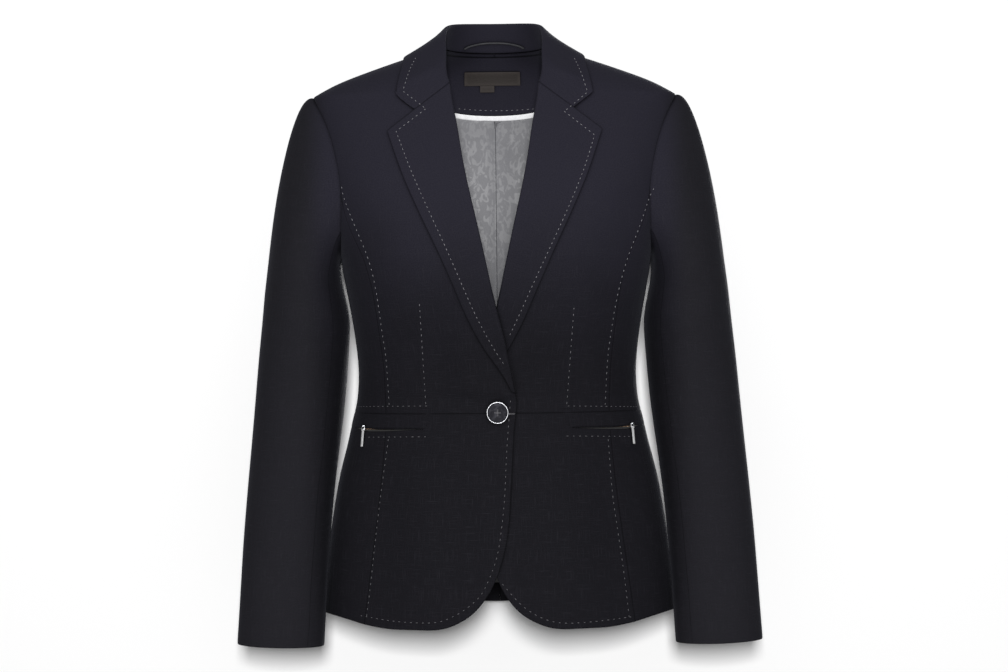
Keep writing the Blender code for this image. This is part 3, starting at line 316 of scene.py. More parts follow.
class Finish:
    """A material and short ways to add nodes to it."""

    def __init__(self, name, roughness=0.5, metallic=0.0, **sockets):
        self.material = bpy.data.materials.new(name)
        self.material.use_nodes = True
        self.tree = self.material.node_tree
        self.shader = self.tree.nodes["Principled BSDF"]
        sockets.update(Roughness=roughness, Metallic=metallic)
        for label, value in sockets.items():
            self.shader.inputs[label.replace("_", " ")].default_value = value

    def add(self, kind, output=0, settings=(), **inputs):
        return new_node(self.tree, kind, settings, **inputs).outputs[output]

    def maths(self, operation, a, b=0.5, c=0.5):
        return self.add("ShaderNodeMath", settings={"operation": operation}, i0=a, i1=b, i2=c)

    def scaled(self, vector, by):
        return self.add("ShaderNodeVectorMath", settings={"operation": "MULTIPLY"},
                        i0=vector, i1=by)

    def split(self, vector):
        return new_node(self.tree, "ShaderNodeSeparateXYZ", i0=vector).outputs

    def place(self):
        """Place in the frame, in metres."""
        return self.add("ShaderNodeTexCoord", 3)

    def near_seam(self):
        return self.add("ShaderNodeAttribute", 2, {"attribute_name": "seam"})

    def ramp(self, value, low, high, to_low=0.0, to_high=1.0):
        return self.add("ShaderNodeMapRange", settings={"interpolation_type": "SMOOTHSTEP"},
                        Value=value, From_Min=low, From_Max=high, To_Min=to_low, To_Max=to_high)

    def mix(self, factor, a, b, blend="MIX"):
        return self.add("ShaderNodeMix", 2, {"data_type": "RGBA", "blend_type": blend},
                        i0=factor, i6=a, i7=b)

    def noise(self, vector, scale, detail=2.0, distortion=0.0):
        """Cloudy values; a scale can be one number, or one for each direction."""
        if isinstance(scale, tuple):
            vector, scale = self.scaled(vector, scale), 1.0
        return self.add("ShaderNodeTexNoise", Vector=vector, Scale=scale, Detail=detail,
                        Distortion=distortion)

    def painted_crease_shade(self, reach, darkest):
        """Painted shade of 1 in the open, falling to darkest in creases narrower than a reach.
        """
        near = self.add("ShaderNodeAmbientOcclusion", 1, {"samples": 6}, Distance=reach * MM)
        return self.ramp(near, 0.35, 0.95, darkest, 1.0)

    def to(self, label, socket):
        self.tree.links.new(socket, self.shader.inputs[label])

    def paint(self, tone, shade):
        """Base colour: a tone times a shade."""
        self.to("Base Color", self.mix(1.0, tone, shade, "MULTIPLY"))

    def bump(self, height, strength, distance):
        self.to("Normal", self.add("ShaderNodeBump", Strength=strength, Distance=distance * MM,
                                   Height=height))


def threads(finish, pitch_mm):
    """Cloth map in millimetres, and the height of a plain weave of that pitch."""
    flat = finish.scaled(finish.add("ShaderNodeUVMap", settings={"uv_map": "cloth"}),
                         (1 / MM, 1 / MM, 1))
    waves = [finish.maths("SINE", finish.maths("MULTIPLY", along, math.pi / pitch_mm))
             for along in finish.split(flat)[:2]]
    return flat, finish.maths("MULTIPLY", *waves)


def cloth_finish(settings):
    """Slubbed plain weave, navy above and charcoal below, with painted top light, painted shade
    and a soft sheen.
    """
    finish = Finish("navy_cloth", roughness=0.78, Sheen_Weight=0.04, Sheen_Roughness=0.42,
                    Sheen_Tint=(0.72, 0.74, 0.90, 1.0), Specular_IOR_Level=0.05)
    flat, weave = threads(finish, settings.thread_pitch / MM)
    weft = finish.noise(flat, (0.055, 1.25, 1), 3.0)
    warp = finish.noise(flat, (1.25, 0.05, 1), 3.0)
    slub = finish.ramp(finish.maths("MAXIMUM", weft, warp), 0.52, 0.82)
    place = finish.place()
    x, _, z = finish.split(place)
    # Tone by height, on a cloudy line: navy above and charcoal below, and lighter above as
    # painted top light.
    height = finish.maths("ADD", z, finish.maths("MULTIPLY", finish.noise(place, 9.0), 0.12))
    ground = finish.mix(finish.ramp(height, -0.31, -0.07), settings.lower, settings.upper)
    arm = finish.ramp(finish.maths("ABSOLUTE", x), 0.178, 0.212)
    ground = finish.mix(arm, ground, settings.sleeve)
    melange = finish.ramp(finish.noise(flat, 0.9, 4.0), 0.3, 0.7, 0.82, 1.18)
    ground = finish.mix(1.0, ground, melange, "MULTIPLY")
    ground = finish.mix(finish.maths("MULTIPLY", slub, 0.42), ground, settings.slub)
    near_seam = finish.near_seam()
    # Painted shade in narrow creases, and painted seam shade that darkens the cloth near seams
    # and edges.
    shade = finish.maths("MULTIPLY", finish.painted_crease_shade(6.0, 0.25),
                         finish.ramp(near_seam, 0.78, 0.96, 1.0, 0.55))
    # Wider painted shade where near parts close in, as on the sleeves' inner sides beside the
    # body and under the lapels' edges.
    finish.paint(ground, finish.maths("MULTIPLY", finish.painted_crease_shade(45.0, 0.62), shade))
    finish.to("Roughness", finish.ramp(slub, 0.0, 1.0, 0.82, 0.66))
    pucker = finish.maths("MULTIPLY", near_seam, finish.noise(flat, 0.22))
    relief = finish.maths("MULTIPLY_ADD", weave, 0.25, finish.maths("MULTIPLY", slub, 0.8))
    finish.bump(finish.maths("MULTIPLY_ADD", pucker, 3.0, relief), settings.weave, 0.35)
    return finish.material


def lining_finish(settings):
    """Silver satin with a woven figure that differs in gloss as much as in tone, under painted
    shade.
    """
    finish = Finish("silver_lining", roughness=0.36, Specular_IOR_Level=0.22)
    flat, weave = threads(finish, 0.35)
    leaves = finish.noise(flat, (0.17, 0.10, 1), 1.0, 1.2)
    figure = finish.ramp(leaves, 0.46, 0.58)
    # Painted shade, as light falls in through the neck: darker low down and on the viewer's
    # right.
    x, _, z = finish.split(finish.place())
    depth = finish.maths("MULTIPLY", finish.ramp(z, -0.30, -0.12, 0.58, 1.0),
                         finish.ramp(x, 0.0, 0.03, 1.0, 0.82))
    finish.paint(finish.mix(figure, settings.lining, settings.figure), depth)
    finish.to("Roughness", finish.ramp(figure, 0.0, 1.0, 0.50, 0.42))
    finish.bump(finish.maths("MULTIPLY_ADD", weave, 0.2, figure), 0.08, 0.15)
    return finish.material


def satin_finish(name, tone, roughness):
    finish = Finish(name, roughness=roughness, Sheen_Weight=0.1)
    flat, weave = threads(finish, 0.4)
    finish.paint(tone, finish.ramp(finish.noise(flat, 0.25), 0.3, 0.7, 0.92, 1.04))
    finish.bump(weave, 0.15, 0.15)
    return finish.material


def label_finish(tone):
    """Dense woven ribbon with a slightly lighter woven border along its edges."""
    finish = Finish("label_cloth", roughness=0.6, Specular_IOR_Level=0.25)
    finish.paint(tone, finish.ramp(finish.near_seam(), 0.3, 0.9, 1.0, 1.35))
    finish.bump(threads(finish, 0.45)[1], 0.4, 0.2)
    return finish.material


def metal_finish(name, tone, roughness, wear, metallic=1.0):
    """Polished metal with fine rubbing marks."""
    finish = Finish(name, roughness=roughness, metallic=metallic)
    marks = finish.noise(finish.place(), (900, 900, 200), 4.0)
    finish.to("Base Color", finish.mix(finish.ramp(marks, 0.35, 0.75), tone,
                                       [c * wear for c in tone]))
    finish.to("Roughness", finish.ramp(marks, 0.3, 0.8, roughness * 0.8, roughness * 1.7))
    finish.bump(marks, 0.05, 0.05)
    return finish.material


def button_finish(tone):
    """Dark dull horn-like plastic with faint clouding."""
    finish = Finish("dark_button", roughness=0.7, Specular_IOR_Level=0.1)
    cloud = finish.ramp(finish.noise(finish.place(), 160.0, 3.0, 0.6), 0.4, 0.75)
    finish.to("Base Color", finish.mix(cloud, tone, [c * 2.2 + 0.01 for c in tone]))
    return finish.material


def thread_finish(tone):
    """Twisted sewing thread, darker towards the hem by painted shade."""
    finish = Finish("pale_thread", roughness=0.7, Specular_IOR_Level=0.2)
    place = finish.place()
    twist = finish.ramp(finish.noise(place, 2600.0), 0.3, 0.7, 0.75, 1.2)
    # Painted shade: the thread darkens towards the hem, as the cloth does below.
    drop = finish.ramp(finish.split(place)[2], -0.40, -0.24, 0.52)
    finish.paint(tone, finish.maths("MULTIPLY", twist, drop))
    return finish.material


def tape_finish():
    finish = Finish("zip_tape", roughness=0.85, Sheen_Weight=0.1)
    weave = threads(finish, 0.5)[1]
    finish.to("Base Color", finish.ramp(weave, -1.0, 1.0, 0.010, 0.026))
    finish.bump(weave, 0.4, 0.2)
    return finish.material


def stage_finish():
    """White paper seen from its front alone, which lets light and looks from behind through."""
    finish = Finish("pale_paper", roughness=0.9, Specular_IOR_Level=0.1,
                    Base_Color=(0.93, 0.93, 0.93, 1.0))
    front = finish.maths("SUBTRACT", 1.0, finish.add("ShaderNodeNewGeometry", 6))
    shown = finish.maths("MULTIPLY", finish.add("ShaderNodeLightPath"), front)
    clear = finish.add("ShaderNodeBsdfTransparent")
    paper = finish.add("ShaderNodeMixShader", i0=shown, i1=clear, i2=finish.shader.outputs[0])
    finish.tree.links.new(paper, finish.tree.nodes["Material Output"].inputs["Surface"])
    return finish.material


FINISHES = {}


def finishes():
    """Every finish, made once, by its slot in the record or its own name."""
    if not FINISHES:
        scene = bpy.context.scene
        cloth, trims = scene.blazer_cloth, scene.blazer_trims
        FINISHES.update(
            cloth=cloth_finish(cloth),
            lining=lining_finish(cloth),
            satin=satin_finish("pale_satin", trims.satin, 0.34),
            loop=satin_finish("loop_satin", (0.026, 0.026, 0.031), 0.6),
            label=label_finish(trims.label),
            zip_tape=tape_finish(),
            metal=metal_finish("bright_metal", trims.metal, 0.16, 0.85),
            bezel=metal_finish("dull_metal", (0.34, 0.345, 0.36), 0.3, 0.85),
            pull=metal_finish("brushed_metal", (0.93, 0.93, 0.94), 0.5, 0.92, 0.6),
            teeth=metal_finish("warm_metal", trims.teeth, 0.34, 0.6),
            button=button_finish(trims.button),
            thread=thread_finish(scene.blazer_stitching.thread),
        )
    return FINISHES


# ------------ cloth pieces
def sleeve_middle(z):
    """Middle of the sleeve at levels z, as x and y, all in millimetres."""
    levels, x, y = zip(*SLEEVE_LINE)
    return np.interp(z, levels, x), np.interp(z, levels, y)


def out_of_cloth(points, kind, side):
    """Unit directions out of the cloth at points in millimetres."""
    if kind == "sleeve":
        x, y = sleeve_middle(points[:, 2])
        away = np.stack([points[:, 0] - side * x, points[:, 1] - y, 0 * x], axis=1)
    else:
        away = points * (TORSO_DEPTH ** 2, 1.0, 0.0)
    return away / np.maximum(np.linalg.norm(away, axis=1), 1e-6)[:, None]


def pleat_rise(points):
    """How far the left half of the lining stands in from the right one at the pleat."""
    x = points[:, 0]
    return np.where(x < 0, -PLEAT_STEP * np.exp(x / PLEAT_REACH), 0.0)


def cloth_map(points, kind, side):
    """Flat place of points in metres, across and along the cloth's threads."""
    x, y, z = points.T
    if "sleeve" in kind:
        mid_x, mid_y = sleeve_middle(z)
        out = (x * side - mid_x) * (SLEEVE_WIDTH if kind == "sleeve" else -1)
        flat = np.arctan2(y - mid_y, out) * SLEEVE_RADIUS, z
    elif kind == "lapel":
        across, down = math.cos(LAPEL_LEAN), math.sin(LAPEL_LEAN)
        flat = x * side * across - z * down, x * side * down + z * across
    elif kind == "collar":
        flat = np.arctan2(x, y + COLLAR_MIDDLE) * COLLAR_RADIUS, z - np.hypot(x, y)
    else:
        facing = -1 if y.mean() > 0 else 1
        flat = np.arctan2(x, -y * facing / TORSO_DEPTH) * facing * TORSO_RADIUS, z
    return np.stack(flat, axis=1) * MM


def fold_depth(points, folds, side, strength):
    """Sum of the soft folds at points, on the side where they lie and mirrored unevenly."""
    depth = np.zeros(len(points))
    for place, (ax, ay, az, bx, by, bz, half, deep) in enumerate(folds):
        uneven = 1.0 + 0.25 * math.sin(2.1 * place + side)
        start = np.array([ax * side, ay, az + 6 * math.cos(1.7 * place) * side])
        run = np.array([bx * side, by, bz]) - start
        along = np.clip((points - start) @ run / (run @ run), 0.0, 1.0)
        gap = np.linalg.norm(points - start - along[:, None] * run, axis=1)
        depth += deep * uneven * np.exp(-(gap / half) ** 2) * (0.55 + 0.45 * np.sin(
            math.pi * along))
    for x, z, reach in CALM:
        gap = np.hypot(np.abs(points[:, 0]) - x, points[:, 2] - z) / reach
        depth *= 1 - np.where(points[:, 1] < 0, np.exp(-gap ** 4), 0)
    return depth * strength


def linked(name, data):
    made = bpy.data.objects.new(name, data)
    bpy.context.scene.collection.objects.link(made)
    return made


def linked_shape(name, shape, look=None):
    """Object with a bmesh's form, and the bmesh freed."""
    mesh = bpy.data.meshes.new(name)
    shape.to_mesh(mesh)
    shape.free()
    if look:
        mesh.materials.append(finishes()[look])
    return linked(name, mesh)


def shape_of(mesh):
    shape = bmesh.new()
    shape.from_mesh(mesh)
    return shape


def stands_for(piece, node, slot, body=BODY):
    """Puts a piece on its body in place of a frame node."""
    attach(piece, body)
    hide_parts(node)
    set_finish(piece, slot)
    return piece


def frame_shape(node):
    shape = shape_of(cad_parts[node].data)
    bmesh.ops.remove_doubles(shape, verts=shape.verts, dist=MERGE)
    return shape


def merged(node):
    """Copy of a frame node as one closed mesh of quads, with its rims marked sharp."""
    shape = frame_shape(node)
    bmesh.ops.join_triangles(shape, faces=shape.faces, angle_face_threshold=math.radians(25),
                             angle_shape_threshold=math.radians(75))
    for edge in shape.edges:
        edge.smooth = edge.calc_face_angle(0.0) < SHARP
    crease_sharp(shape)
    return shape


def crease_sharp(shape):
    """Full crease on every sharp edge, so that it stays sharp when it is subdivided."""
    layers = shape.edges.layers.float
    crease = layers.get("crease_edge") or layers.new("crease_edge")
    for edge in shape.edges:
        edge[crease] = 0.0 if edge.smooth else 1.0


def walls_of(shape):
    """The two broad walls of a shell, each as the faces inside its sharp rim."""
    left, walls = set(shape.faces), []
    while left:
        wall, todo = [], [left.pop()]
        while todo:
            face = todo.pop()
            wall.append(face)
            near = [other for edge in face.edges if edge.smooth
                    for other in edge.link_faces if other in left]
            left.difference_update(near)
            todo += near
        walls.append(wall)
    return sorted(walls, key=lambda faces: -sum(face.calc_area() for face in faces))[:2]


def turn_edges(shape, reach, sink, body_side=0):
    """Rounds a shell's edges off: a close row of points inside each rim, and a pressed rim.

    A rim that points to the body, which is away from body_side, is tucked in under it.
    """
    cloth = set()
    for wall in walls_of(shape):
        ring = bmesh.ops.inset_region(shape, faces=wall, thickness=reach * MM,
                                      use_boundary=True, use_even_offset=False)
        cloth.update(wall, ring["faces"])
    for edge in shape.edges:
        walls = sum(face in cloth for face in edge.link_faces)
        edge.smooth = walls == 2 or not (walls or edge.calc_face_angle(0.0) > SHARP)
    crease_sharp(shape)
    shifts, presses = {}, {}
    for vertex in shape.verts:
        inner = [edge for edge in vertex.link_edges
                 if edge.smooth and all(face in cloth for face in edge.link_faces)]
        if not inner or len(inner) == len(vertex.link_edges):
            continue
        grow = sum(((vertex.co - edge.other_vert(vertex).co).normalized() for edge in inner),
                   Vector())
        normal = sum((face.normal for face in vertex.link_faces if face in cloth), Vector())
        heading = grow.normalized()
        by = TUCK if heading.x * body_side < -0.6 else SEAM_CLOSE
        shifts[vertex] = heading * by * MM
        presses[vertex] = -normal.normalized() * sink * MM
    for vertex in shape.verts:
        near = [shifts[other] for edge in vertex.link_edges
                for other in (edge.other_vert(vertex),) if other in presses]
        if near and not any(face in cloth for face in vertex.link_faces):
            shifts[vertex] = sum(near, Vector()) / len(near)
    for vertex, shift in shifts.items():
        vertex.co += shift + presses.get(vertex, Vector())


def subdivided(piece, levels, passes):
    """Subdivides a piece; with passes, its smooth surface goes through its own points."""
    smooth = piece.modifiers.new("smooth", "SUBSURF")
    smooth.boundary_smooth = "PRESERVE_CORNERS"
    smooth.levels = smooth.render_levels = 1
    wanted = vertex_array(piece.data)
    for _ in range(passes):
        bpy.context.view_layer.update()
        seen = piece.evaluated_get(bpy.context.evaluated_depsgraph_get()).to_mesh()
        points = vertex_array(piece.data) + wanted - vertex_array(seen)[:len(wanted)]
        piece.data.vertices.foreach_set("co", points.ravel())
        piece.data.update()
    smooth.levels = smooth.render_levels = levels
    plain_mesh(piece)


def dart_rise(points):
    """How far the cloth beside each dart's fold stands up."""
    rise = np.zeros(len(points))
    for (foot, tip), side in zip(DARTS, (-1, 1)):
        start, end = [np.array(through_picture(*spot, DART_DISTANCE)) / MM
                      for spot in (foot, tip)]
        along = (points[:, 2] - start[2]) / (end[2] - start[2])
        line = start[0] + (end[0] - start[0]) * np.clip(along, 0, 1)
        across = (points[:, 0] - line) * -side
        fade = np.clip(1 - along, 0, 1) * (along > -0.05) * (points[:, 1] < -60)
        edge = 1 / (1 + np.exp(-np.clip(across / DART_EDGE, -30, 30)))
        rise += DART_STEP * edge * np.exp(-np.abs(across) / DART_REACH) * np.sqrt(fade)
    return rise


def slit_gape(points):
    """How far up the cloth moves at the pocket's slit, whose lower lip sags open."""
    start, end = SLIT_GAPE
    along = np.clip((np.abs(points[:, 0]) - start) / (end - start), 0, 1)
    wide = np.sqrt(along) * (1 - along ** 6) * (points[:, 1] < 0)
    above = points[:, 2] - SLIT_EDGE
    return wide * np.where(above > 0, LIP_LIFT, -LIP_SAG) * np.exp(-np.abs(above) / LIP_REACH)


def seam_nearness(mesh, points):
    """How near each point is to a seam or an edge: 1 on it, falling to 0 away from it."""
    rims = {v for edge in mesh.edges if edge.use_edge_sharp for v in edge.vertices}
    tree = KDTree(max(1, len(rims)))
    for spot in sorted(rims):
        tree.insert(mesh.vertices[spot].co, spot)
    tree.balance()
    reach = np.array([tree.find(v.co)[2] if rims else 1.0 for v in mesh.vertices]) / MM
    # The pocket band's inner end gets neither pucker nor painted seam shade.
    band_end = np.exp(-((np.abs(points[:, 0]) - BAND_END[0]) / 4) ** 2
                      - ((points[:, 2] - BAND_END[1]) / 7) ** 4)
    return np.exp(-np.maximum(reach, 0.0) / SEAM_REACH) * (1 - band_end)


def cloth_piece(name, node, look, kind="body", side=1, folds=(), levels=2, turn=EDGE_TURN,
                darts=False):
    """Smooth shell on a frame node's form, with its folds, its map and its finish."""
    region = "sleeve" if "sleeve" in kind else "body"
    piece = linked_shape(name, merged(node))
    subdivided(piece, 1, passes=0 if look == "lining" else 3)
    shape = shape_of(piece.data)
    turn_edges(shape, turn, EDGE_SINK * turn / EDGE_TURN, side if region == "sleeve" else 0)
    shape.to_mesh(piece.data)
    shape.free()
    subdivided(piece, levels - 1, passes=0)
    mesh = piece.data
    points = vertex_array(mesh) / MM
    seam = seam_nearness(mesh, points)
    mesh.attributes.new("seam", "FLOAT", "POINT").data.foreach_set("value", seam)
    lift = fold_depth(points, folds, side, bpy.context.scene.blazer_cloth.fold)
    if look == "lining":
        lift += pleat_rise(points)
    if darts:
        lift += dart_rise(points)
    moved = points + out_of_cloth(points, region, side) * lift[:, None]
    if look == "cloth" and region == "body":
        moved[:, 2] += slit_gape(points)
    mesh.vertices.foreach_set("co", (moved * MM).ravel())
    corners = np.zeros(len(mesh.loops), dtype=np.int32)
    mesh.loops.foreach_get("vertex_index", corners)
    layer = mesh.uv_layers.new(name="cloth")
    layer.data.foreach_set("uv", cloth_map(points, kind, side)[corners].ravel())
    mesh.materials.clear()
    mesh.materials.append(finishes()[look])
    mesh.update()
    stands_for(piece, node, look)
    return piece


def vertex_array(mesh):
    points = np.zeros(len(mesh.vertices) * 3)
    mesh.vertices.foreach_get("co", points)
    return points.reshape(-1, 3)


def plain_mesh(piece):
    """Turns an object's modifiers or curve into the mesh that they give."""
    bpy.context.view_layer.update()
    evaluated = piece.evaluated_get(bpy.context.evaluated_depsgraph_get())
    mesh = bpy.data.meshes.new_from_object(evaluated)
    if piece.type == "MESH":
        piece.modifiers.clear()
        piece.data = mesh
        return piece
    name = piece.name
    bpy.data.objects.remove(piece)
    mesh.name = name
    return linked(name, mesh)


# ------------ places on the cloth
def through_picture(across, down, distance):
    """Point in metres seen at a pixel, at that distance in front of the camera."""
    right = (across - PICTURE[0] / 2) * PIXEL * MM / -CAMERA_PLACE.y
    up = (PICTURE[1] / 2 - down) * PIXEL * MM / -CAMERA_PLACE.y
    turn = (math.cos(CAMERA_ROLL), math.sin(CAMERA_ROLL))
    ray = Vector((right * turn[0] + up * turn[1], 1.0, up * turn[0] - right * turn[1]))
    return CAMERA_PLACE + ray * distance


def cloth_tree(names):
    """Search tree over the pieces with these names."""
    points, faces = [], []
    for name in names:
        mesh = bpy.data.objects[name].data
        base = len(points)
        points += [v.co.copy() for v in mesh.vertices]
        faces += [[base + v for v in face.vertices] for face in mesh.polygons]
    return BVHTree.FromPolygons(points, faces)


def seated(tree, starts, lift, heading=None):
    """Places on the cloth, lifted off it, found along a heading or away from the camera."""
    places = []
    for start in starts:
        ray = heading or (start - CAMERA_PLACE).normalized()
        place, normal, _, _ = tree.ray_cast(start, ray)
        if place is not None:
            places.append(place + (-normal if normal.dot(ray) > 0 else normal) * lift)
    return places


def inset_line(points, by):
    """A line beside another one, with mitred corners; positive is to its right, seen."""
    spots = [Vector(p) for p in points]
    normals = []
    for a, b in zip(spots, spots[1:]):
        run = (b - a).normalized()
        normals.append(Vector((run.y, -run.x)))
    line = []
    for place, spot in enumerate(spots):
        before, after = normals[max(place - 1, 0)], normals[min(place, len(normals) - 1)]
        middle = (before + after).normalized()
        line.append(spot + middle * by / max(middle.dot(after), 0.5))
    return line


def even_points(points, step):
    """Points along a line at about that step, with its corners kept."""
    line = [points[0]]
    for a, b in zip(points, points[1:]):
        count = max(1, round((b - a).length / step))
        line += [a.lerp(b, (i + 1) / count) for i in range(count)]
    return line


def rounded_line(points, rounds=2):
    """Cuts a line's gentle corners, and keeps its sharp ones."""
    for _ in range(rounds):
        line = [points[0]]
        for before, spot, after in zip(points, points[1:], points[2:]):
            if (spot - before).angle(after - spot) > math.radians(40):
                line.append(spot)
            else:
                line += [spot.lerp(before, 0.25), spot.lerp(after, 0.25)]
        points = line + [points[-1]]
    return points


def row_curve(name, lines):
    """Curve object with one open line for each list of points."""
    curve = bpy.data.curves.new(name, "CURVE")
    curve.dimensions = "3D"
    for line in lines:
        spline = curve.splines.new("POLY")
        spline.points.add(len(line) - 1)
        for spot, point in zip(spline.points, line):
            spot.co = (*point, 1.0)
    return linked(name, curve)


# ------------ repeated pieces
def repeat_tree(shape):
    """Geometry Nodes tree that sets a small shape at even steps along curves."""
    tree = bpy.data.node_groups.new(shape, "GeometryNodeTree")
    for label in ("Geometry", "Length", "Pitch", "Radius", "Uneven", "Material"):
        kind = label if label in ("Geometry", "Material") else "Float"
        tree.interface.new_socket(label, in_out="INPUT", socket_type="NodeSocket" + kind)
    tree.interface.new_socket("Geometry", in_out="OUTPUT", socket_type="NodeSocketGeometry")

    def node(kind, output=0, settings=(), **inputs):
        return new_node(tree, kind, settings, **inputs).outputs[output]

    given = new_node(tree, "NodeGroupInput").outputs
    spots = new_node(tree, "GeometryNodeCurveToPoints", {"mode": "LENGTH"},
                     Curve=given["Geometry"], Length=given["Pitch"]).outputs
    half = node("ShaderNodeMath", 0, {"operation": "MULTIPLY"}, i0=given["Length"], i1=0.5)
    size = node("ShaderNodeCombineXYZ", i0=given["Radius"], i1=given["Radius"], i2=half)
    if shape == "thread":
        unit = node("GeometryNodeMeshUVSphere", Segments=8, Rings=6, Radius=1.0)
    else:
        unit = node("GeometryNodeMeshCube", Size=(2.0, 2.0, 2.0))
    grown = node("GeometryNodeTransform", Geometry=unit, Scale=size)
    vector = {"data_type": "FLOAT_VECTOR"}
    turn = node("FunctionNodeRandomValue", 0, vector, i0=(-1, -1, 0), i1=(1, 1, 0), Seed=7)
    spread = node("ShaderNodeVectorMath", 0, {"operation": "SCALE"}, i0=turn,
                  Scale=given["Uneven"])
    grow = node("FunctionNodeRandomValue", 0, vector, i0=(0.85, 0.85, 0.75),
                i1=(1.1, 1.1, 1.15), Seed=3)
    placed = node("GeometryNodeInstanceOnPoints", Points=spots["Points"], Instance=grown,
                  Rotation=spots["Rotation"], Scale=grow)
    shaken = node("GeometryNodeRotateInstances", Instances=placed, Rotation=spread)
    real = node("GeometryNodeRealizeInstances", Geometry=shaken)
    painted = node("GeometryNodeSetMaterial", Geometry=real, Material=given["Material"])
    new_node(tree, "NodeGroupOutput", i0=painted)
    return tree


def repeated(name, lines, shape, look, slot=None, **values):
    """Mesh of a shape repeated along lines; values are the tree's named inputs."""
    curve = row_curve(name, lines)
    modifier = curve.modifiers.new("row", "NODES")
    modifier.node_group = bpy.data.node_groups.get(shape) or repeat_tree(shape)
    sockets = {item.name: item.identifier for item in modifier.node_group.interface.items_tree
               if item.in_out == "INPUT"}
    for label, value in values.items():
        modifier[sockets[label.capitalize()]] = value
    modifier[sockets["Material"]] = finishes()[look]
    made = plain_mesh(curve)
    made.data.shade_smooth()
    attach(made, BODY)
    if slot:
        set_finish(made, slot)


def thread_rows(name, lines, **values):
    """Rows of stitches with the settings of the topstitching, unless values say otherwise."""
    settings = bpy.context.scene.blazer_stitching
    sizes = {"length": settings.stitch, "pitch": settings.pitch, "radius": settings.radius,
             "uneven": 0.05}
    repeated(name, lines, "thread", "thread", **{**sizes, **values})


# ------------ pieces one by one
def turned_piece(name, profile, look, place, segments=64):
    """Piece turned from radius and height, in millimetres, its axis forward at a place."""
    shape = bmesh.new()
    spots = [shape.verts.new((radius * MM, 0, high * MM)) for radius, high in profile]
    rims = [shape.edges.new(pair) for pair in zip(spots, spots[1:])]
    if profile[0][0] > 0:
        rims.append(shape.edges.new((spots[-1], spots[0])))
    bmesh.ops.spin(shape, geom=spots + rims, axis=(0, 0, 1), cent=(0, 0, 0),
                   angle=2 * math.pi, steps=segments, use_merge=True)
    bmesh.ops.remove_doubles(shape, verts=shape.verts, dist=1e-7)
    bmesh.ops.recalc_face_normals(shape, faces=shape.faces)
    piece = linked_shape(name, shape, look)
    piece.data.shade_smooth()
    piece.data.set_sharp_from_angle(angle=math.radians(35))
    for vertex in piece.data.vertices:
        vertex.co = Vector((vertex.co.x, -vertex.co.z, vertex.co.y)) + place
    return piece


def softened(name, node, look, body, radius):
    """Finer form of a small hard node, with its edges rounded off."""
    shape = frame_shape(node)
    bmesh.ops.dissolve_limit(shape, angle_limit=math.radians(2), verts=shape.verts,
                             edges=shape.edges)
    corners = [edge for edge in shape.edges if edge.calc_face_angle(0.0) > SHARP]
    bmesh.ops.bevel(shape, geom=corners, offset=radius * MM, segments=4, profile=0.5,
                    affect="EDGES", clamp_overlap=True)
    piece = linked_shape(name, shape, look)
    piece.data.shade_smooth()
    return stands_for(piece, node, "metal", body)


# ------------ operators
class Maker(bpy.types.Operator):
    """Common ground of the blazer's operators."""
    bl_options = {"REGISTER", "UNDO"}

    def execute(self, context):
        self.make(context.scene)
        return {"FINISHED"}


class BLAZER_OT_body(Maker):
    """Fronts, sides and back of the body, with darts and the waist's pocket bands"""
    bl_idname = "blazer.body"
    bl_label = "Body"

    def make(self, scene):
        for name, side in SIDES:
            cloth_piece("front_" + name, "front_upper_" + name, "cloth", side=side,
                        folds=BODY_FOLDS, levels=3, darts=True)
            for part in ("side_front_upper", "pocket_band", "front_lower", "side_front_lower",
                         "back", "side_back"):
                node = "%s_%s" % (part, name)
                cloth_piece(node + "_cloth", node, "cloth", side=side, folds=BODY_FOLDS)


class BLAZER_OT_sleeves(Maker):
    """Two-piece sleeves"""
    bl_idname = "blazer.sleeves"
    bl_label = "Sleeves"

    def make(self, scene):
        for name, side in SIDES:
            for part, kind in (("top", "sleeve"), ("under", "under_sleeve")):
                cloth_piece("sleeve_%s_%s" % (part, name), "%s_sleeve_%s" % (part, name),
                            "cloth", kind, side, SLEEVE_FOLDS)


class BLAZER_OT_collar(Maker):
    """Collar and the two turned-out lapels"""
    bl_idname = "blazer.collar"
    bl_label = "Collar and lapels"

    def make(self, scene):
        cloth_piece("collar_cloth", "collar", "cloth", "collar")
        for name, side in SIDES:
            cloth_piece("lapel_cloth_" + name, "lapel_" + name, "cloth", "lapel", side,
                        BODY_FOLDS)


class BLAZER_OT_inside(Maker):
    """Neck facing, piping, lining, hanger loop and the bare labels"""
    bl_idname = "blazer.inside"
    bl_label = "Inside of the neck"

    def make(self, scene):
        cloth_piece("facing_cloth", "neck_facing", "cloth")
        cloth_piece("piping_satin", "piping", "satin", turn=0.5)
        for name, side in SIDES:
            cloth_piece("lining_" + name, "back_lining_" + name, "lining", side=side,
                        folds=LINING_FOLDS)
        loop = cloth_piece("loop_satin", "hanger_loop", "satin", levels=1, turn=0.2)
        loop.data.materials[0] = finishes()["loop"]
        size_tab = cloth_piece("size_tab_cloth", "size_tab", "label", turn=0.5)
        cloth_piece("label_cloth", "label", "label", turn=0.5)


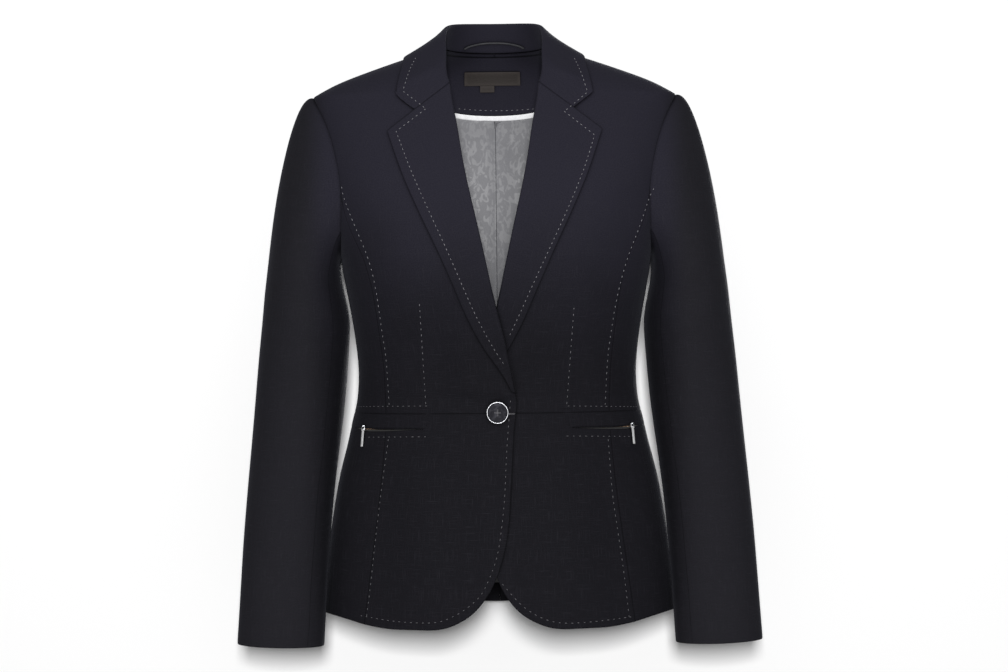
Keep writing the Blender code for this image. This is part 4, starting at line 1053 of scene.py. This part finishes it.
class BLAZER_OT_topstitching(Maker):
    """Pale rows along edges, princess seams, darts, waist and pockets"""
    bl_idname = "blazer.topstitching"
    bl_label = "Topstitching"

    def make(self, scene):
        settings = scene.blazer_stitching
        tree = cloth_tree([o.name for o in bpy.data.objects
                           if o.type == "MESH" and o.get("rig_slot") == "cloth"])
        lift = settings.radius * 0.25
        close, wide = [], []
        for name, (by, points) in FRONT_ROWS.items():
            spots = even_points(rounded_line(inset_line(points, by)), 1.2)
            starts = [through_picture(*spot, SEARCH_START) for spot in spots]
            rows = close if name.startswith(("collar", "lapel", "neck")) else wide
            rows.append(seated(tree, starts, lift))
        for points in BACK_ROWS.values():
            for _, side in SIDES:
                spots = even_points(rounded_line([Vector(p) for p in points]), 1.5)
                starts = [Vector((x * side, 300, z)) * MM for x, z in spots]
                wide.append(seated(tree, starts, lift, Vector((0, -1, 0))))
        thread_rows("close_topstitching", close)
        thread_rows("wide_topstitching", wide, pitch=settings.pitch * 1.17)


class BLAZER_OT_zips(Maker):
    """Zip tapes, teeth, sliders and their pulls"""
    bl_idname = "blazer.zips"
    bl_label = "Pocket zips"

    def make(self, scene):
        for name, side in SIDES:
            cloth_piece("tape_" + name, "zip_tape_" + name, "zip_tape", side=side)
            tree = cloth_tree(["tape_" + name])
            chains = []
            for row, drop in enumerate((TOOTH_ROW, -TOOTH_ROW)):
                starts = [Vector(((SLIT[0] + (SLIT[1] - SLIT[0]) * step / 59 + 0.6 * row)
                                  * side, -200, SLIT_LEVEL + drop)) * MM for step in range(60)]
                chains.append(seated(tree, starts, TOOTH_RISE / 2 * MM, Vector((0, 1, 0))))
            repeated("teeth_" + name, chains, "tooth", "teeth", "metal",
                     length=TOOTH_LENGTH * MM, pitch=scene.blazer_trims.tooth_pitch,
                     radius=TOOTH_RISE / 2 * MM, uneven=0.0)
            for part in ("zip_slider", "zip_ring"):
                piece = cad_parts["%s_%s" % (part, name)]
                piece.data.materials.clear()
                piece.data.materials.append(finishes()["metal"])
                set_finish(piece, "metal")
            softened("pull_" + name, "zip_bar_" + name, "pull", "pull_bar_" + name, 0.34)


class BLAZER_OT_button(Maker):
    """Button, its bright rim, its thread and the buttonhole's end"""
    bl_idname = "blazer.button"
    bl_label = "Button"

    def make(self, scene):
        low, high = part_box("button")
        place = Vector(((low.x + high.x) / 2, high.y, (low.z + high.z) / 2))
        disc = (high.x - low.x) / 2 / MM - BUTTON_PLAY
        face = [(disc - inward, rise) for inward, rise in BUTTON_FACE]
        face = [(0, 0)] + face + [(0, BUTTON_MIDDLE)]
        low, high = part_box("button_rim")
        outer, inner = (high.x - low.x) / 2 / MM - RIM_PLAY, disc + BEZEL_GAP
        middle, half = (inner + outer) / 2, (outer - inner) / 2
        bead = [(middle - half * math.cos(turn), BEZEL_TOP - half + half * math.sin(turn))
                for turn in (math.pi * step / 10 for step in range(11))]
        bead = [(inner, BEZEL_FOOT)] + bead + [(outer, BEZEL_FOOT)]
        stands_for(turned_piece("button_face", face, "button", place), "button", "button")
        stands_for(turned_piece("button_bezel", bead, "bezel", place), "button_rim", "metal")
        self.thread(place)
        self.buttonhole()

    def thread(self, place):
        """Cross of thread between four points of the button's middle."""
        steps = [step / THREAD_STEPS for step in range(THREAD_STEPS + 1)]
        arc = [(THREAD_REACH * (2 * step - 1),
                -THREAD_LEVEL - THREAD_RISE * math.sin(math.pi * step)) for step in steps]
        pair = (-THREAD_APART, THREAD_APART)
        lines = [[place + Vector((x, y, z)) * MM for x, y in arc] for z in pair]
        lines += [[place + Vector((-x, y, z)) * MM for z, y in arc] for x in pair]
        thread_rows("button_thread", lines, length=1.9 * MM, pitch=1.45 * MM,
                    radius=0.3 * MM, uneven=0.0)

    def buttonhole(self):
        """Two close rows of thread beside the end that the button leaves free."""
        (across, down), apart, half = BUTTONHOLE
        tree = cloth_tree(["front_left", "front_lower_left_cloth"])
        starts = [through_picture(across + apart * step, down, SEARCH_START)
                  for step in range(9)]
        slit = seated(tree, starts, 0.2 * MM)
        lines = [[point + Vector((0, 0, rise * MM)) for point in slit]
                 for rise in (-half, half)]
        thread_rows("buttonhole", lines, length=0.9 * MM, pitch=0.62 * MM, radius=0.28 * MM)


class BLAZER_OT_stage(Maker):
    """Pale floor and backdrop, soft lamps and the camera"""
    bl_idname = "blazer.stage"
    bl_label = "Studio"

    def make(self, scene):
        settings = scene.blazer_stage
        paper = stage_finish()
        level = CAD_BOX[0].z - settings.floor_drop
        wall = CAD_BOX[1].y + settings.backdrop
        for name, low, high in (("floor", STAGE_FRONT, wall), ("backdrop", level, STAGE_TOP)):
            mesh = bpy.data.meshes.new(name)
            corners = ((-STAGE_SIDE, low), (STAGE_SIDE, low), (STAGE_SIDE, high),
                       (-STAGE_SIDE, high))
            spots = [(a, b, level) if name == "floor" else (a, wall, b) for a, b in corners]
            mesh.from_pydata(spots, [], [(0, 1, 2, 3)])
            mesh.materials.append(paper)
            linked(name, mesh)
        for name, place, size, power in LAMPS:
            light = bpy.data.lights.new(name, "AREA")
            light.shape, light.energy = "RECTANGLE", getattr(settings, power)
            light.size, light.size_y = size
            lamp = linked(name, light)
            lamp.location = place
            aim = LAMP_AIM - Vector(place)
            lamp.rotation_euler = aim.to_track_quat("-Z", "Y").to_euler()
        scene.world = bpy.data.worlds.new("studio")
        scene.world.use_nodes = True
        sky = scene.world.node_tree.nodes["Background"].inputs
        sky["Color"].default_value = (1.0, 1.0, 1.0, 1.0)
        sky["Strength"].default_value = settings.sky
        scene.view_settings.view_transform = "Standard"
        data = bpy.data.cameras.new("camera")
        data.sensor_width = SENSOR
        data.lens = SENSOR * -CAMERA_PLACE.y / (PICTURE[0] * PIXEL * MM)
        camera = linked("camera", data)
        camera.location = CAMERA_PLACE
        camera.rotation_euler = (math.pi / 2, CAMERA_ROLL, 0.0)
        scene.camera = camera


class BLAZER_PT_panel(bpy.types.Panel):
    """Settings and makers of the blazer"""
    bl_label = "Blazer"
    bl_idname = "BLAZER_PT_panel"
    bl_space_type = "VIEW_3D"
    bl_region_type = "UI"
    bl_category = "Blazer"

    def draw(self, context):
        for group, _ in GROUPS:
            settings = getattr(context.scene, group)
            box = self.layout.box()
            for name in settings.__annotations__:
                box.prop(settings, name)
        for maker in MAKERS:
            self.layout.operator(maker.bl_idname)


GROUPS = (("blazer_cloth", BlazerCloth), ("blazer_stitching", BlazerStitching),
          ("blazer_trims", BlazerTrims), ("blazer_stage", BlazerStage))
MAKERS = (BLAZER_OT_body, BLAZER_OT_sleeves, BLAZER_OT_collar, BLAZER_OT_inside,
          BLAZER_OT_topstitching, BLAZER_OT_zips, BLAZER_OT_button, BLAZER_OT_stage)


def register():
    for name, group in GROUPS:
        bpy.utils.register_class(group)
        setattr(bpy.types.Scene, name, PointerProperty(type=group))
    for made in MAKERS + (BLAZER_PT_panel,):
        bpy.utils.register_class(made)


def unregister():
    for made in (BLAZER_PT_panel,) + MAKERS[::-1]:
        bpy.utils.unregister_class(made)
    for name, group in GROUPS[::-1]:
        delattr(bpy.types.Scene, name)
        bpy.utils.unregister_class(group)


def main():
    register()
    for maker in MAKERS:
        group, name = maker.bl_idname.split(".")
        getattr(getattr(bpy.ops, group), name)()


if __name__ == "__main__":
    main()
